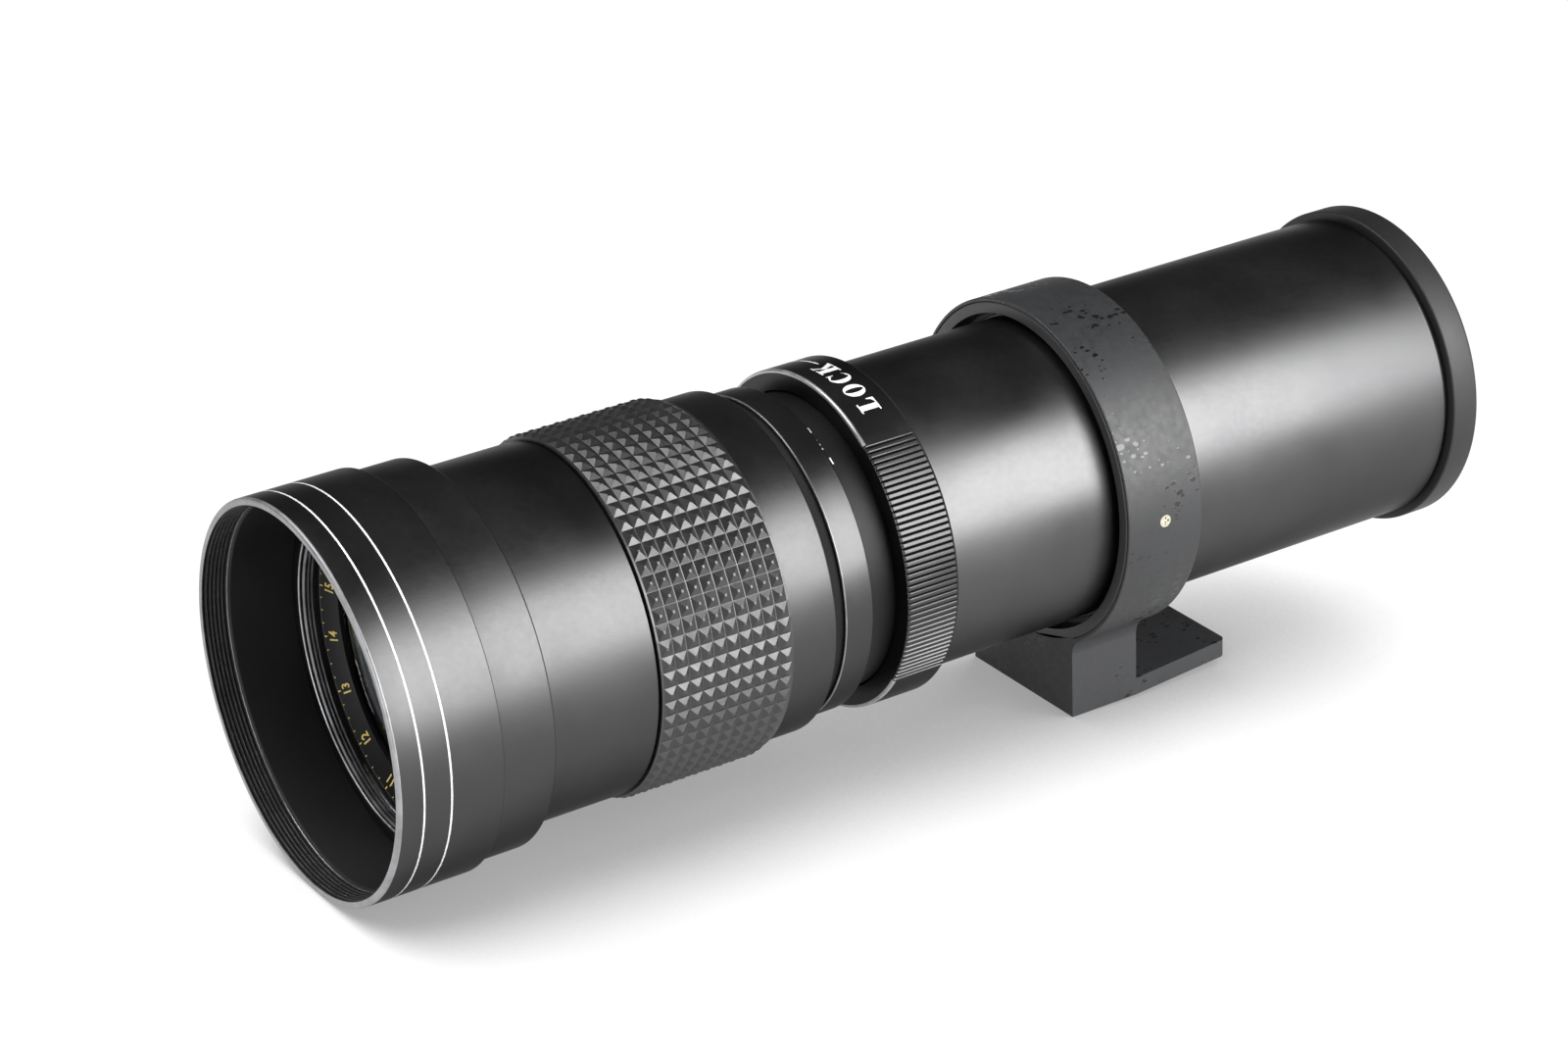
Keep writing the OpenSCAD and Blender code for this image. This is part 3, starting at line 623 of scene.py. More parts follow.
def make_hood():
    """Hood shell with its rim, white lines and rear ring with the felt's seat."""
    r, start, end = measures("hood_shell")
    bore = r - HOOD_WALL
    inner = bore - HOOD_BORE_STEP
    groove_r = r - LINE_DEPTH
    line_fronts = (front("hood_line_inlays"), back("hood_line_inlays") - LINE_W)
    grooves = []
    for y in line_fronts:
        grooves += [(r, y), (groove_r, y), (groove_r, y + LINE_W), (r, y + LINE_W)]
    ridge_start = start + RIM_LIP
    # The rim's front face and rounded edges take the hood's bright metal, a painted highlight; the inside
    # takes the matt black.
    shell = spun("hood_shell_turned", [
        (bore, start, 0.6, 3), (r, start, 0.6, 1), *grooves, (r, end, 0.3), (inner, end, 0, 2),
        (inner, ridge_start + (RIM_RIDGES + RIM_RUNOUT_SHARE) * RIM_RIDGE_PITCH, 0.2, 2),
        *rim_ridges(bore, ridge_start),
    ], "hood", [barrel_black, hood_painted_glint, matt_inside, bright_painted_glint])
    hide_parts("hood_shell")

    proud = r + LINE_PROUD
    for i, y in enumerate(line_fronts):
        low = y + LINE_PROUD
        high = y + LINE_W - LINE_PROUD
        line = spun(f"hood_white_line_{i + 1}", [
            (groove_r, low), (proud, low, 0.05), (proud, high, 0.05), (groove_r, high),
        ], "hood", [white_enamel])
        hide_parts("hood_line_inlays")

    base_r, base_front, base_back = measures("hood_base_ring")
    base_bore = base_r - HOOD_BASE_WALL
    felt_r, felt_front, felt_back = measures("hood_felt")
    felt_r += CLEARANCE
    joint_in, joint_out = HOOD_JOINT_R
    base = spun("hood_base_turned", [
        (joint_in, base_front, 0.1), (joint_out, base_front, 0.1), (joint_out, end), (base_r, end, 0.1),
        (base_r, base_back, 0.5), (base_bore, base_back, 0.15), (base_bore, felt_back),
        (felt_r, felt_back), (felt_r, felt_front), (base_bore, felt_front), (base_bore, end),
        (joint_in, end),
    ], "hood", [barrel_black])
    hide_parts("hood_base_ring")


# Front barrel and objective

BARREL_WALL_R = 32.78 * MM
WEB_T = 1.4 * MM
FLANGE_LEN = 3.0 * MM
THREAD_R = 31.0 * MM
THREAD_LEN = 3.6 * MM
THREAD_PITCH = 0.75 * MM
THREAD_DEPTH = 0.42 * MM
THREAD_LEAD = 0.5 * MM
THREAD_TURNS = 3.6
ROOT_SINK = 0.02 * MM
POCKET_R = 30.45 * MM
SPIGOT_R = (28.3 * MM, 30.3 * MM)
KEYWAY_W = 3.6 * MM
KEYWAY_DEPTH = 4 * MM


def make_front_barrel():
    """Front barrel with its stop flange, filter thread and sliding spigot."""
    flange_r, start, end = measures("front_barrel")
    flange_back = start + FLANGE_LEN
    thread_back = start + THREAD_LEN
    shoulder = front("focus_grip") - FACE_GAP
    web = shoulder - WEB_T
    cell_back = back("front_cell")
    bore = radius("front_baffle") + CLEARANCE
    spigot_in, spigot_out = SPIGOT_R
    # The fillet at the filter thread's mouth takes the bright metal, a painted highlight.
    barrel = spun("front_barrel_turned", [
        (THREAD_R, start, 0.3, 1), (flange_r, start, 0.22), (flange_r, flange_back, 0.1),
        (BARREL_WALL_R, flange_back), (BARREL_WALL_R, shoulder, 0.3), (spigot_out, shoulder),
        (spigot_out, end, 0.15), (spigot_in, end, 0.15), (spigot_in, web), (bore, web), (bore, cell_back),
        (POCKET_R, cell_back), (POCKET_R, thread_back), (THREAD_R, thread_back),
    ], "front_barrel", [barrel_black, bright_painted_glint])
    cut_keyway(barrel, end)
    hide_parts("front_barrel")
    root_r = THREAD_R + ROOT_SINK
    # The filter thread's ridge takes the dim bright metal: painted glints.
    thread_ridge("filter_thread_turns", root_r, root_r, THREAD_R - THREAD_DEPTH, start + THREAD_LEAD,
                 THREAD_TURNS, THREAD_PITCH, "front_barrel", dim_painted_glint)


def cut_keyway(barrel, end):
    """Cuts the slot that the guide key runs in, at the bottom of the spigot."""
    slot_front = front("guide_key") - FACE_GAP
    bpy.ops.mesh.primitive_cube_add(size=1)
    cutter = bpy.context.object
    cutter.scale = (KEYWAY_W, end - slot_front + 2 * OVERRUN, KEYWAY_DEPTH)
    cutter.location = (0, (end + slot_front) / 2 + OVERRUN, -sum(SPIGOT_R) / 2)
    cut_with(barrel, cutter)


NAME_FACE_DEPTH = 1.7 * MM
NAME_RIM_W = 0.5 * MM
NAME_LAP = 0.6 * MM
NAME_LIFT = 0.02 * MM
TICKS = 72
TICKS_PER_LONG = 4
TICK_TOP = 1.5 * MM
LONG_TICK = (0.12 * MM, 0.95 * MM)
SHORT_TICK = (0.08 * MM, 1.15 * MM)
NUMBERS = 18
NUMBER_SIZE = 2.35 * MM
NUMBER_INSET = 0.45 * MM


def make_name_ring():
    """Cone-faced ring round the front glass, with generic ticks and plain numbers."""
    r, start, end = measures("name_ring")
    rim_r = r - NAME_RIM_W
    bore = radius("crown_lens") - NAME_LAP
    # The rim's rounded edges take the dim bright metal, a painted highlight.
    ring = spun("name_ring_turned", [
        (bore, start + NAME_FACE_DEPTH, 0.08), (rim_r, start, 0.06, 1), (r, start, 0.06, 1), (r, end),
        (bore, end),
    ], "front_barrel", [face_black, dim_painted_glint])
    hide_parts("name_ring")
    middle = (r + bore) / 2

    def on_cone(u, v, centre_angle):
        """Point on the cone face, u along it and v towards its rim."""
        radial = middle + v
        y = start + NAME_FACE_DEPTH * (rim_r - radial) / (rim_r - bore)
        return on_axis(radial, y - NAME_LIFT, centre_angle + u / middle)

    points = []
    for i, angle in enumerate(stations(TICKS)):
        half, low = SHORT_TICK if i % TICKS_PER_LONG else LONG_TICK
        points += [on_cone(u, v, angle) for u, v in box_corners(-half, half, low, TICK_TOP)]
    print_quads("name_ring_ticks", points, "front_barrel", gold_enamel)
    for i, angle in enumerate(stations(NUMBERS)):
        write(f"name_ring_number_{i + 1}", str(i + 1), NUMBER_SIZE, "front_barrel", gold_enamel,
              lambda u, v, a=angle: on_cone(u, v - NUMBER_INSET, a))


CROWN_FRONT_CURVE = 190 * MM
CEMENT_CURVE = -150 * MM
FLINT_BACK_CURVE = 400 * MM
FLINT_T = 3.5 * MM
FACE_STEPS = 24


def surface(y, r, curve, outwards):
    """Points of a spherical lens face from the axis to its edge, or back if outwards is False.
    A face with a positive curve bulges towards the front."""
    sign = math.copysign(1, curve)
    steps = range(FACE_STEPS + 1)
    points = []
    for i in steps if outwards else reversed(steps):
        x = r * i / FACE_STEPS
        points.append((x, y + curve - sign * math.sqrt(curve ** 2 - x ** 2)))
    return points


def make_glass():
    """The cemented front pair. Curvatures are the source's own."""
    r, crown_front, crown_back = measures("crown_lens")
    sides = surface(crown_front, r, CROWN_FRONT_CURVE, True) + surface(crown_back, r, CEMENT_CURVE, False)
    crown = spun("front_crown_glass", sides, "front_barrel", [front_glass], ring=False)
    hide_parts("crown_lens")
    vertex = crown_back + CLEARANCE
    sides = surface(vertex, r, CEMENT_CURVE, True) + surface(vertex + FLINT_T, r, FLINT_BACK_CURVE, False)
    flint = spun("front_flint_glass", sides, "front_barrel", [inner_glass], ring=False)
    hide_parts("flint_lens")


# Focus ring

SKIRT_STEP = 0.88 * MM
SLEEVE_WALL = 1.0 * MM
HUB_LEN = 6.4 * MM
INDEX_HUB_STEP = 1.38 * MM


def make_focus_sleeve():
    """Metal sleeve of the focus ring: the skirt shows behind the rubber."""
    skirt_r, start, end = measures("focus_sleeve")
    seat_r = skirt_r - SKIRT_STEP
    bore = seat_r - SLEEVE_WALL
    hub_bore = radius("index_ring") - INDEX_HUB_STEP + RUNNING_GAP
    grip_back = back("focus_grip") + FACE_GAP
    lip = end - HUB_LEN
    sleeve = spun("focus_sleeve_turned", [
        (bore, start), (seat_r, start, 0.1), (seat_r, grip_back), (skirt_r, grip_back, 0.2),
        (skirt_r, end, 0.5), (hub_bore, end, 0.1), (hub_bore, lip), (bore, lip),
    ], "focus_ring", [barrel_black])
    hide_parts("focus_sleeve")


PYRAMIDS_AROUND = 72
PYRAMIDS_ALONG = 10
PYRAMID_H = 0.56 * MM
PYRAMID_TURN = 3.2
CELL_LINES = 3
RUBBER_T = 2.38 * MM
VALLEY_ACROSS_SHARE = 0.012
VALLEY_ALONG_SHARE = 0.034
TIP_SHARE = 0.08
GRIP_RIM = 0.35 * MM
GRIP_SOFTENING = 0.03 * MM


def make_grip():
    """Rubber ring with rows of square pyramids: flat valleys between them and tiny flat tips."""
    tip_r = radius("focus_grip")
    valley_r = tip_r - PYRAMID_H
    bore_r = tip_r - RUBBER_T
    start = front("focus_grip") + GRIP_RIM
    pitch = (back("focus_grip") - GRIP_RIM - start) / PYRAMIDS_ALONG
    step = 2 * math.pi / PYRAMIDS_AROUND
    offset = math.radians(PYRAMID_TURN) - step / 2

    def lines(cells, valley):
        """Lines along the valleys' edges, CELL_LINES to a cell, counted in cells."""
        return [i + share for i in range(cells) for share in (0, valley, 1 - valley)]

    around = lines(PYRAMIDS_AROUND, VALLEY_ACROSS_SHARE)
    along = lines(PYRAMIDS_ALONG, VALLEY_ALONG_SHARE)
    along[0] = -GRIP_RIM / pitch
    along.append(PYRAMIDS_ALONG + GRIP_RIM / pitch)
    columns = len(around)
    rows = len(along)

    def spot(r, a, b):
        """Point at a place counted in cells around and along."""
        return on_axis(r, start + b * pitch, offset + a * step)

    points = [spot(valley_r, a, b) for b in along for a in around]
    faces = []
    for n, corners in enumerate(lattice(rows, columns, wrap=False)):
        i = n % columns
        j = n // columns
        if i % CELL_LINES != 1 or j % CELL_LINES != 1:
            faces.append(corners)
            continue
        first = len(points)
        for da, db in box_corners(-TIP_SHARE, TIP_SHARE, -TIP_SHARE, TIP_SHARE):
            points.append(spot(tip_r, i // CELL_LINES + 0.5 + da, j // CELL_LINES + 0.5 + db))
        for k in range(4):
            m = (k + 1) % 4
            faces.append((corners[k], corners[m], first + m, first + k))
        faces.append(tuple(range(first, first + 4)))
    inner = len(points)
    points += [spot(bore_r, a, b) for b in (along[0], along[-1]) for a in around]
    last = (rows - 1) * columns
    for i in range(columns):
        k = (i + 1) % columns
        faces.append((k, i, inner + i, inner + k))
        faces.append((last + i, last + k, inner + columns + k, inner + columns + i))
        faces.append((inner + k, inner + i, inner + columns + i, inner + columns + k))
    grip = make_piece("focus_grip_moulded", points, faces, "focus_ring", [grip_rubber],
                      smooth=False)
    soften(grip, GRIP_SOFTENING, 2, 20)
    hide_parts("focus_grip")


# Draw tube and index ring

DRAW_WALL = 1.5 * MM
SLIDE_SEAT_STEP = 0.7 * MM
INDEX_FLOOR_STEP = 0.69 * MM
INDEX_FACE_LEN = 5.96 * MM


def make_draw_tube():
    """Sliding draw tube with its scale, and the index ring on it."""
    r, start, end = measures("draw_tube")
    bore = r - DRAW_WALL
    seat = front("draw_slide_ring")
    seat_r = r - SLIDE_SEAT_STEP
    # The draw tube takes the darkened neck black, a painted shade.
    tube = spun("draw_tube_turned", [
        (bore, start, 0.1), (r, start, 0.25), (r, seat), (seat_r, seat), (seat_r, end), (bore, end),
    ], "draw_tube", [neck_black_and_painted_shade])
    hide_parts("draw_tube")

    ring_r, ring_front, ring_back = measures("index_ring")
    ring_bore = r + CLEARANCE
    hub_r = ring_r - INDEX_HUB_STEP
    floor_r = ring_r - INDEX_FLOOR_STEP
    hub_back = back("focus_sleeve") + FACE_GAP
    face = ring_back - INDEX_FACE_LEN
    # The hub and groove take the dead black as painted shade; the face's front edge takes the dim bright
    # metal, a painted highlight.
    index = spun("index_ring_turned", [
        (ring_bore, ring_front), (hub_r, ring_front, 0, 2), (hub_r, hub_back, 0, 2),
        (floor_r, hub_back, 0, 2), (floor_r, face, 0, 2), (ring_r, face, 0.3, 1),
        (ring_r, ring_back, 0.35), (ring_bore, ring_back),
    ], "draw_tube", [anodised_black, dim_painted_glint, dead_black_and_painted_shade])
    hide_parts("index_ring")
    make_scale(r, ring_back)


SCALE_ANGLE = 26.6
SCALE_START = 0.95 * MM
SCALE_SIZE = 2.5 * MM
SCALE_LIFT = 0.015 * MM
SCALE_TRAVELS = ((4, 0 * MM), (5, 24 * MM), (6, 46 * MM), (7, 66 * MM), (8, 85 * MM))
DASH_OUT = 3.9 * MM
DASH_BACK = 0.9 * MM
DASH_HALF_LEN = 0.7 * MM
DASH_HALF_W = 0.13 * MM


def make_scale(r, ring_back):
    """Plain numbers and dashes along the draw tube, one row for each hundred of the zoom range."""
    dash = box_corners(-DASH_HALF_LEN, DASH_HALF_LEN, -DASH_HALF_W, DASH_HALF_W)
    for hundreds, travel in SCALE_TRAVELS:

        def on_tube(u, v, y0=ring_back + SCALE_START + travel):
            """Point on the tube: letter tops face the front."""
            return on_axis(r + SCALE_LIFT, y0 - v, math.radians(SCALE_ANGLE) - u / r)

        write(f"scale_number_{hundreds}", f"{hundreds}00", SCALE_SIZE, "draw_tube", white_enamel, on_tube)
        points = [on_tube(centre + u, v - DASH_BACK) for centre in (-DASH_OUT, DASH_OUT) for u, v in dash]
        print_quads(f"scale_dashes_{hundreds}", points, "draw_tube", white_enamel)


# Lock ring

KNURL_COUNT = 43
KNURL_PITCH = 2.05
KNURL_START = 37.6
KNURL_DEPTH = 0.44 * MM
KNURL_SAMPLES = 12
GROOVE_SHARE = 0.2
LOCK_BORE_R = 29.52 * MM
LOCK_LIP_R = 28.3 * MM
LOCK_BACK_BEVEL = 0.75 * MM
CONE_DEEP = 2.6 * MM
CONE_SHALLOW = 1.2 * MM


def knurl_place(angle):
    """Place in the knurl at an angle (radians), counted in grooves, or None on the smooth panels."""
    for sector in (0, 180):
        along = (math.degrees(angle) - KNURL_START - sector) / KNURL_PITCH
        along -= 360 / KNURL_PITCH * math.floor((along + 0.5) * KNURL_PITCH / 360)
        if -0.5 <= along < KNURL_COUNT - 0.5:
            return along
    return None


def groove_at(angle):
    """Share of the knurl's depth at an angle (radians), 0 on the smooth panels."""
    along = knurl_place(angle)
    if along is None:
        return 0.0
    return max(0.0, 1 - abs(along - round(along)) / GROOVE_SHARE)


def knurl_stations():
    """Angles of the spin: fine on the knurled sectors, about 1 degree apart on the smooth panels."""
    angles = []
    for sector in (0, 180):
        for i in range(KNURL_COUNT * KNURL_SAMPLES):
            angles.append(KNURL_START + sector + (i / KNURL_SAMPLES - 0.5) * KNURL_PITCH)
        end = KNURL_START + sector + (KNURL_COUNT - 0.5) * KNURL_PITCH
        gap = 180 - KNURL_COUNT * KNURL_PITCH
        count = int(gap)
        angles += [end + gap * i / count for i in range(count)]
    return [math.radians(a) for a in angles]


def make_lock_ring():
    """Knurled lock ring with its word and arrow."""
    r, start, end = measures("lock_ring")
    cone_front = front("lock_collet") - FACE_GAP
    cone_back = back("lock_collet")

    def knurled(r_here, angle):
        """Radius of the outline with the knurl cut in."""
        return min(r_here, r - KNURL_DEPTH * groove_at(angle))

    # The front edge takes the bright metal, a painted highlight, left off on the knurled sectors; the rear
    # chamfer takes the dead black as painted shade.
    ring = spun("lock_ring_knurled", [
        (LOCK_LIP_R, start, 0.1), (r, start, 0.6, 1), (r, end - LOCK_BACK_BEVEL, 0.1, 2),
        (r - LOCK_BACK_BEVEL, end, 0.1), (LOCK_BORE_R, end, 0.05), (LOCK_BORE_R, cone_back + FACE_GAP),
        (LOCK_LIP_R + CONE_DEEP, cone_back), (LOCK_LIP_R + CONE_SHALLOW, cone_front),
        (LOCK_LIP_R, cone_front),
    ], "lock_ring", [anodised_black, bright_painted_glint, dead_black_and_painted_shade], radius_at=knurled,
        angles=knurl_stations(), dull_at=lambda angle: knurl_place(angle) is not None)
    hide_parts("lock_ring")
    make_lock_word(r)


def letter_shapes():
    """Outlines of four serif letters, in shares of the cap height, each with its width."""
    stem = [(0, 1), (0, 0.93), (0.13, 0.93), (0.13, 0.07), (0, 0.07)]
    foot_l = [(0, 0), (0.80, 0), (0.80, 0.37), (0.75, 0.37), (0.70, 0.19), (0.61, 0.10), (0.50, 0.07),
              (0.43, 0.07), (0.43, 0.93), (0.57, 0.93), (0.57, 1), *stem]
    ring_o = [arc_points(0.44, 0.5, 0.44, 0.525, 0, 360, 40)[:-1],
              arc_points(0.44, 0.5, 0.155, 0.465, 0, 360, 40)[:-1]]
    open_c = (arc_points(0.44, 0.5, 0.44, 0.525, 52, 308, 30)
              + [(0.80, 0.20), (0.77, 0.22), (0.72, 0.13)]
              + arc_points(0.46, 0.5, 0.175, 0.46, 300, 60, 26)
              + [(0.72, 0.80), (0.76, 0.64), (0.80, 0.64), (0.80, 1.0), (0.765, 1.0), (0.74, 0.93)])
    arms_k = [(0, 0), (0.56, 0), (0.56, 0.07), (0.43, 0.07), (0.43, 0.36), (0.51, 0.46), (0.68, 0.07),
              (0.62, 0.07), (0.62, 0), (1.08, 0), (1.08, 0.07), (1.01, 0.07), (0.67, 0.62), (0.88, 0.93),
              (1.0, 0.93), (1.0, 1), (0.68, 1), (0.68, 0.93), (0.80, 0.93), (0.43, 0.46), (0.43, 0.93),
              (0.56, 0.93), (0.56, 1), *stem]
    return {"L": ([foot_l], 0.80), "O": (ring_o, 0.88), "C": ([open_c], 0.80), "K": ([arms_k], 1.08)}


LOCK_START = 25.4
LOCK_HEIGHT = 4.1 * MM
LOCK_FRONT = -130.6 * MM
LOCK_LIFT = 0.012 * MM
SPACING_SHARE = 0.255
ARROW_START = -7.7
ARROW_END = -22
ARROW_MIDDLE_SHARE = 0.36
SHAFT_SHARE = 0.045
HEAD_SHARE = 0.16
HEAD_LEN_SHARE = 0.5
STRIP_SHARE = 0.1


def make_lock_word(r):
    """The word LOCK and a plain arrow, printed white on the smooth panel."""

    def print_shape(name, outlines):
        """Prints filled outlines, in shares of the cap height: x along the word, y towards the front."""
        flat, faces = fill_outlines(outlines)
        points = []
        for x, y in flat:
            angle = math.radians(LOCK_START) - x * LOCK_HEIGHT / r
            points.append(on_axis(r + LOCK_LIFT, LOCK_FRONT + LOCK_HEIGHT * (1 - y), angle))
        make_piece(name, points, faces, "lock_ring", [white_enamel])

    shapes = letter_shapes()
    along = 0.0
    for letter in "LOCK":
        outlines, width = shapes[letter]
        print_shape(f"lock_letter_{letter}", [[(x + along, y) for x, y in o] for o in outlines])
        along += width + SPACING_SHARE
    start, end = (math.radians(LOCK_START - a) * r / LOCK_HEIGHT for a in (ARROW_START, ARROW_END))
    shaft_low, shaft_high = ARROW_MIDDLE_SHARE - SHAFT_SHARE, ARROW_MIDDLE_SHARE + SHAFT_SHARE
    print_shape("lock_arrow", [[
        (start, shaft_low), (end, shaft_low), (end, ARROW_MIDDLE_SHARE - HEAD_SHARE),
        (end + HEAD_LEN_SHARE, ARROW_MIDDLE_SHARE), (end, ARROW_MIDDLE_SHARE + HEAD_SHARE),
        (end, shaft_high), (start, shaft_high),
    ]])


def fill_outlines(outlines):
    """Fills closed outlines, holes included, and cuts the faces into narrow strips so they can bend."""
    work = bmesh.new()
    for outline in outlines:
        verts = [work.verts.new((x, y, 0)) for x, y in outline]
        for i, vert in enumerate(verts):
            work.edges.new((vert, verts[(i + 1) % len(verts)]))
    bmesh.ops.triangle_fill(work, edges=work.edges[:], use_beauty=True)
    low = min(v.co.x for v in work.verts)
    high = max(v.co.x for v in work.verts)
    for i in range(1, int((high - low) / STRIP_SHARE) + 1):
        bmesh.ops.bisect_plane(work, geom=work.verts[:] + work.edges[:] + work.faces[:],
                               plane_co=(low + i * STRIP_SHARE, 0, 0), plane_no=(1, 0, 0))
    work.verts.index_update()
    points = [(v.co.x, v.co.y) for v in work.verts]
    faces = [tuple(v.index for v in f.verts) for f in work.faces]
    work.free()
    return points, faces


# Main tube and camera end

TUBE_STEP = 0.45 * MM
TUBE_WALL = 1.04 * MM
TUBE_LIP_LEN = 3 * MM
TUBE_GROOVE_W = 1.0 * MM
TUBE_GROOVE_DEPTH = 0.8 * MM
SCREW_SLOT_ROOM = 0.6 * MM
STEP_SLOTS_AHEAD = 1.5
REAR_PLATE_T = 3 * MM
REAR_LAP = 0.75 * MM
MOUNT_R = 24 * MM
MOUNT_THREAD_R = 21 * MM
MOUNT_THREAD_DEPTH = 0.46 * MM
MOUNT_THREAD_LEAD = 0.55 * MM
MOUNT_THREAD_TURNS = 5.2
THROAT_R = 18 * MM


def tube_step():
    """y of the main tube's step, ahead of the slot that the collar screws run in."""
    slot_w = 2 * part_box("collar_screws")[1].z + SCREW_SLOT_ROOM
    return centre_y("collar_screws") - STEP_SLOTS_AHEAD * slot_w


def make_main_tube():
    """Main tube, rear flange and threaded mount ring."""
    rear_r, start, end = measures("main_tube")
    front_r = rear_r - TUBE_STEP
    bore = front_r - TUBE_WALL
    lip = radius("draw_tube") + RUNNING_GAP
    lip_back = start + TUBE_LIP_LEN
    step = tube_step()
    r, flange_front, seat = measures("rear_flange")
    groove_front = flange_front - TUBE_GROOVE_W
    groove_r = rear_r - TUBE_GROOVE_DEPTH
    tube = spun("main_tube_turned", [
        (lip, start), (front_r, start, 0.25), (front_r, step), (rear_r, step, 0.1),
        (rear_r, groove_front, 0.3), (groove_r, groove_front), (groove_r, end), (bore, end),
        (bore, lip_back), (lip, lip_back),
    ], "barrel", [tube_black])
    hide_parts("main_tube")

    plate = seat - REAR_PLATE_T
    hole_r = MOUNT_R + CLEARANCE
    bore_r = rear_r - REAR_LAP
    flange = spun("rear_flange_turned", [
        (bore_r, flange_front, 0.1), (r, flange_front, 0.4), (r, seat, 0.8), (hole_r, seat, 0.15),
        (hole_r, plate), (bore_r, plate),
    ], "barrel", [flange_black])
    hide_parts("rear_flange")

    lip_r, ring_front, ring_back = measures("camera_mount_ring")
    root_r = MOUNT_THREAD_R - MOUNT_THREAD_DEPTH
    # The turned corners take the dim bright metal, a painted highlight.
    mount = spun("camera_mount_turned", [
        (THROAT_R, ring_front, 0.2), (lip_r, ring_front), (lip_r, plate), (MOUNT_R, plate),
        (MOUNT_R, seat, 0.12, 1), (root_r, seat), (root_r, ring_back, 0.4, 1),
        (THROAT_R, ring_back, 0.25, 1),
    ], "barrel", [mount_black, dim_painted_glint])
    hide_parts("camera_mount_ring")
    root_r -= ROOT_SINK
    thread_ridge("camera_thread_turns", root_r, root_r, MOUNT_THREAD_R, seat + MOUNT_THREAD_LEAD,
                 MOUNT_THREAD_TURNS, THREAD_PITCH, "barrel", mount_black)


# Tripod collar

FOOT_FILLET = 5 * MM
FOOT_HALF_W = 15.92 * MM
FOOT_END_HALF_W = 13.5 * MM
BLOCK_LEN = 15.2 * MM
BLOCK_SINK = 0.35 * MM
FILLET_SINK = 0.3 * MM
PLATE_T = 3.55 * MM
PLATE_CORNER = 1.6 * MM
PLATE_SETBACK = 0.01 * MM
SCREW_HOLE = (30 * MM, 36 * MM)
SOFT_EDGE = 0.22 * MM
BUSHING_MOUTH_GAP = 1.36 * MM


def foot_section(ring_r, bottom):
    """Cross-section of the block and its fillets, as (x, z) points."""
    fillet_x = FOOT_HALF_W + FOOT_FILLET
    fillet_z = -math.sqrt((ring_r + FOOT_FILLET) ** 2 - fillet_x ** 2)
    touch = math.degrees(math.atan2(-fillet_z, -fillet_x))
    side = arc_points(fillet_x, fillet_z, FOOT_FILLET, FOOT_FILLET, 180, touch, 16)
    deep = (ring_r - FILLET_SINK) / ring_r
    inner = (side[-1][0] * deep, side[-1][1] * deep)
    right = [(FOOT_HALF_W, bottom), *side, inner]
    left = [(-x, z) for x, z in reversed(right)]
    return right + [(0, BLOCK_SINK - ring_r)] + left


def plate_outline(start, block_back, end):
    """Outline of the foot plate with its two rounded corners, as (x, y) points."""
    corner_x = FOOT_END_HALF_W - PLATE_CORNER
    corner_y = end - PLATE_CORNER
    first_y = start + PLATE_SETBACK
    return [(-FOOT_HALF_W, first_y), (FOOT_HALF_W, first_y), (FOOT_HALF_W, block_back),
            *arc_points(corner_x, corner_y, PLATE_CORNER, PLATE_CORNER, 0, 90, 8),
            *arc_points(-corner_x, corner_y, PLATE_CORNER, PLATE_CORNER, 90, 180, 8),
            (-FOOT_HALF_W, block_back)]


def make_collar():
    """Tripod collar: ring, block and foot plate as one casting, and its bushing."""
    low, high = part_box("tripod_collar")
    start = low.y
    bottom = low.z
    ring_r = high.z
    outer = radius("collar_bushing")
    bore = outer + CLEARANCE
    end = back("collar_bushing")
    block_back = start + BLOCK_LEN
    casting = spun("tripod_collar_cast", [
        (bore, start, 0.02), (ring_r, start, 0.4), (ring_r, end, 0.35), (bore, end, 0.02),
    ], "tripod_collar", [collar_enamel])
    block = prism("block", foot_section(ring_r, bottom), start, block_back, lambda x, z, y: (x, y, z))
    cut_with(casting, block, "UNION")
    outline = plate_outline(start, block_back, high.y)
    plate = prism("plate", outline, bottom, bottom + PLATE_T)
    cut_with(casting, plate, "UNION")
    bush_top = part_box("tripod_bush")[1]
    bush_y = centre_y("tripod_bush")
    hole = rod("bush_hole", bush_top.x + CLEARANCE, bottom - OVERRUN, bush_top.z + CLEARANCE,
               lambda x, y, z: (x, bush_y + y, z))
    cut_with(casting, hole)
    screw_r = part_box("collar_screws")[1].z + CLEARANCE
    screw_y = centre_y("collar_screws")
    for side in (-1, 1):
        hole = rod("screw_hole", screw_r, *SCREW_HOLE, lambda x, y, z, s=side: (s * z, screw_y + y, x))
        cut_with(casting, hole)
    finish_mesh(casting)
    soften(casting, SOFT_EDGE, 3, 50)
    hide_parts("tripod_collar")

    mouth = radius("main_tube") - TUBE_STEP + BUSHING_MOUTH_GAP
    bearing = radius("main_tube") + RUNNING_GAP
    lip = tube_step() + FACE_GAP
    bushing = spun("collar_bushing_turned", [
        (mouth, start, 0.2), (outer, start, 0.45), (outer, end), (bearing, end), (bearing, lip),
        (mouth, lip),
    ], "tripod_collar", [bushing_black])
    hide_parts("collar_bushing")


BUSH_BORE_R = 3.175 * MM
BUSH_STATIONS = 64
BUSH_PITCH = 1.27 * MM
BUSH_THREAD_DEPTH = 0.6 * MM
BUSH_LEAD = 0.15 * MM


